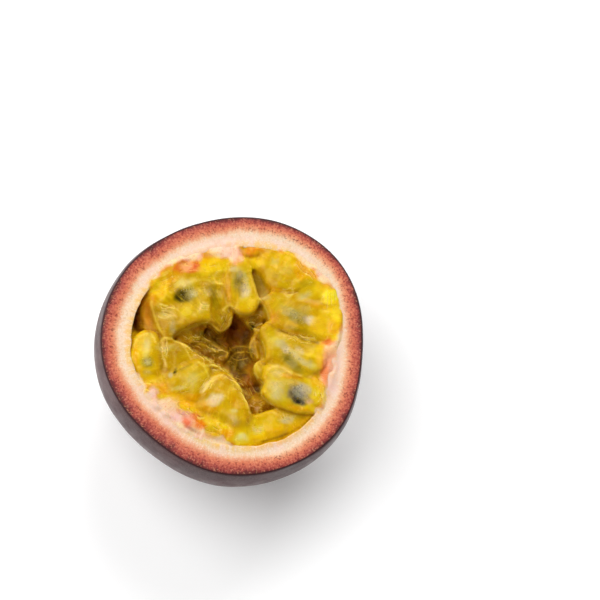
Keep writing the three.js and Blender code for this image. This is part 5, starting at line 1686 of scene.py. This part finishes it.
# ------------------------------------------------------------------ the seeds
def seeds_piece():
    lat, lon = 20, 28
    th = np.linspace(0, math.pi, lat + 1)[1:-1]
    ph = np.linspace(0, 2 * math.pi, lon, endpoint=False)
    unit = np.array([[math.cos(a), math.sin(a) * math.cos(b), math.sin(a) * math.sin(b)] for a in th for b in ph])
    unit = np.concatenate([unit, [[1, 0, 0], [-1, 0, 0]]])
    quads = []
    for i in range(lat - 2):
        for j in range(lon):
            a, b = i * lon + j, i * lon + (j + 1) % lon
            quads.append([a, a + lon, b + lon, b])
    for j in range(0, lon, 2):
        m, k = (j + 1) % lon, (j + 2) % lon
        quads.append([len(unit) - 2, j, m, k])
        e = (lat - 2) * lon
        quads.append([len(unit) - 1, e + k, e + m, e + j])
    pattern = np.array(quads)
    verts, faces = [], []
    for i, (px, py, a, b, d, deep, _) in enumerate(SEEDS):
        x, y = on_face(px, py, deep - 0.5)
        d = math.radians(d)
        turn = np.array([[math.cos(d), math.sin(d), 0], [-math.sin(d), math.cos(d), 0], [0, 0, 1.0]])
        u = unit.copy()
        p = u * [a, b, 1.0]
        p[:, 1:] *= (1 - 0.22 * smooth(0.2, 1.0, u[:, 0]))[:, None]
        p = p * (1 + 0.035 * fine.at(u * 3 + 11 * i, 0.55)[:, None] - 0.03 * (fine.at(u * 3 + 5 * i, 0.3) > 0.35)[:, None])
        faces.append(pattern + len(unit) * i)
        verts.append(p @ turn + [x, y, -deep])
    return new_mesh("seeds", np.concatenate(verts), np.concatenate(faces))


def seeds_material():
    t = Tree("seed")
    pit = t.cells(0.45, "F1")
    colour = t.ramp(t.map(t.noise(0.8, 4, 0.6), 0.3, 0.7), (0.0, rgb(34, 30, 20)), (1.0, rgb(74, 66, 48)))
    colour = t.mixed(t.map(pit, 0.0, 0.3, 0.5, 0), colour, rgb(22, 18, 12))
    t.principled(Base_Color=colour, Roughness=t.map(t.noise(0.5), 0.3, 0.7, 0.32, 0.5),
                 Normal=t.bump(pit, 0.08, 0.8), IOR=1.5)
    return t.material


# ------------------------------------------------------------------ build the pieces
rind = shell_piece()
rind.data.materials.append(shell_material())
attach(rind, "root")
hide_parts("shell")

sacs = sacs_object()
sacs.data.materials.append(flesh_material("jelly", 0.14))
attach(sacs, "root")
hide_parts("pulp")

core = core_object()
core.data.materials.append(flesh_material("deep_jelly", 0.1))
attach(core, "root")

seeds = seeds_piece()
seeds.data.materials.append(seeds_material())
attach(seeds, "root")


# ------------------------------------------------------------------ floor, light and picture
def stage():
    bpy.ops.mesh.primitive_plane_add(size=6.0, location=(0, 0, 0))
    floor = bpy.context.object
    floor.name = "floor"
    t = Tree("floor")
    t.principled(Base_Color=(0.93, 0.93, 0.93), Roughness=0.8, Emission_Color=(1, 1, 1), Emission_Strength=0.11)
    floor.data.materials.append(t.material)

    world = bpy.data.worlds.new("studio")
    bpy.context.scene.world = world
    world.use_nodes = True
    nodes, links = world.node_tree.nodes, world.node_tree.links
    bg = nodes["Background"]
    # bright walls round the table, a dark ceiling: wet things then shine at their sides and not all over
    way = nodes.new("ShaderNodeTexCoord")
    split = nodes.new("ShaderNodeSeparateXYZ")
    ramp = nodes.new("ShaderNodeMapRange")
    ramp.interpolation_type = "SMOOTHSTEP"
    links.new(way.outputs["Generated"], split.inputs[0])
    links.new(split.outputs["Z"], ramp.inputs["Value"])
    for name, v in (("From Min", 0.35), ("From Max", 0.75), ("To Min", 0.85), ("To Max", 0.04)):
        ramp.inputs[name].default_value = v
    bg.inputs["Color"].default_value = (1, 1, 1, 1)
    links.new(ramp.outputs["Result"], bg.inputs["Strength"])

    def area(name, where, size, power):
        data = bpy.data.lights.new(name, "AREA")
        data.shape = "DISK"
        data.size = size
        data.energy = power
        ob = bpy.data.objects.new(name, data)
        bpy.context.scene.collection.objects.link(ob)
        ob.location = where
        aim = Vector((0, 0, 0.02)) - Vector(where)
        ob.rotation_euler = aim.to_track_quat("-Z", "Y").to_euler()
        return ob

    area("over", (-0.50, 0.16, 0.85), 0.9, 8.9)
    area("key", (0.16, 0.64, 0.60), 0.6, 5.0)
    scene = bpy.context.scene
    scene.view_settings.view_transform = "Standard"
    scene.view_settings.look = "None"
    scene.cycles.max_bounces = 12
    scene.cycles.transmission_bounces = 8


stage()
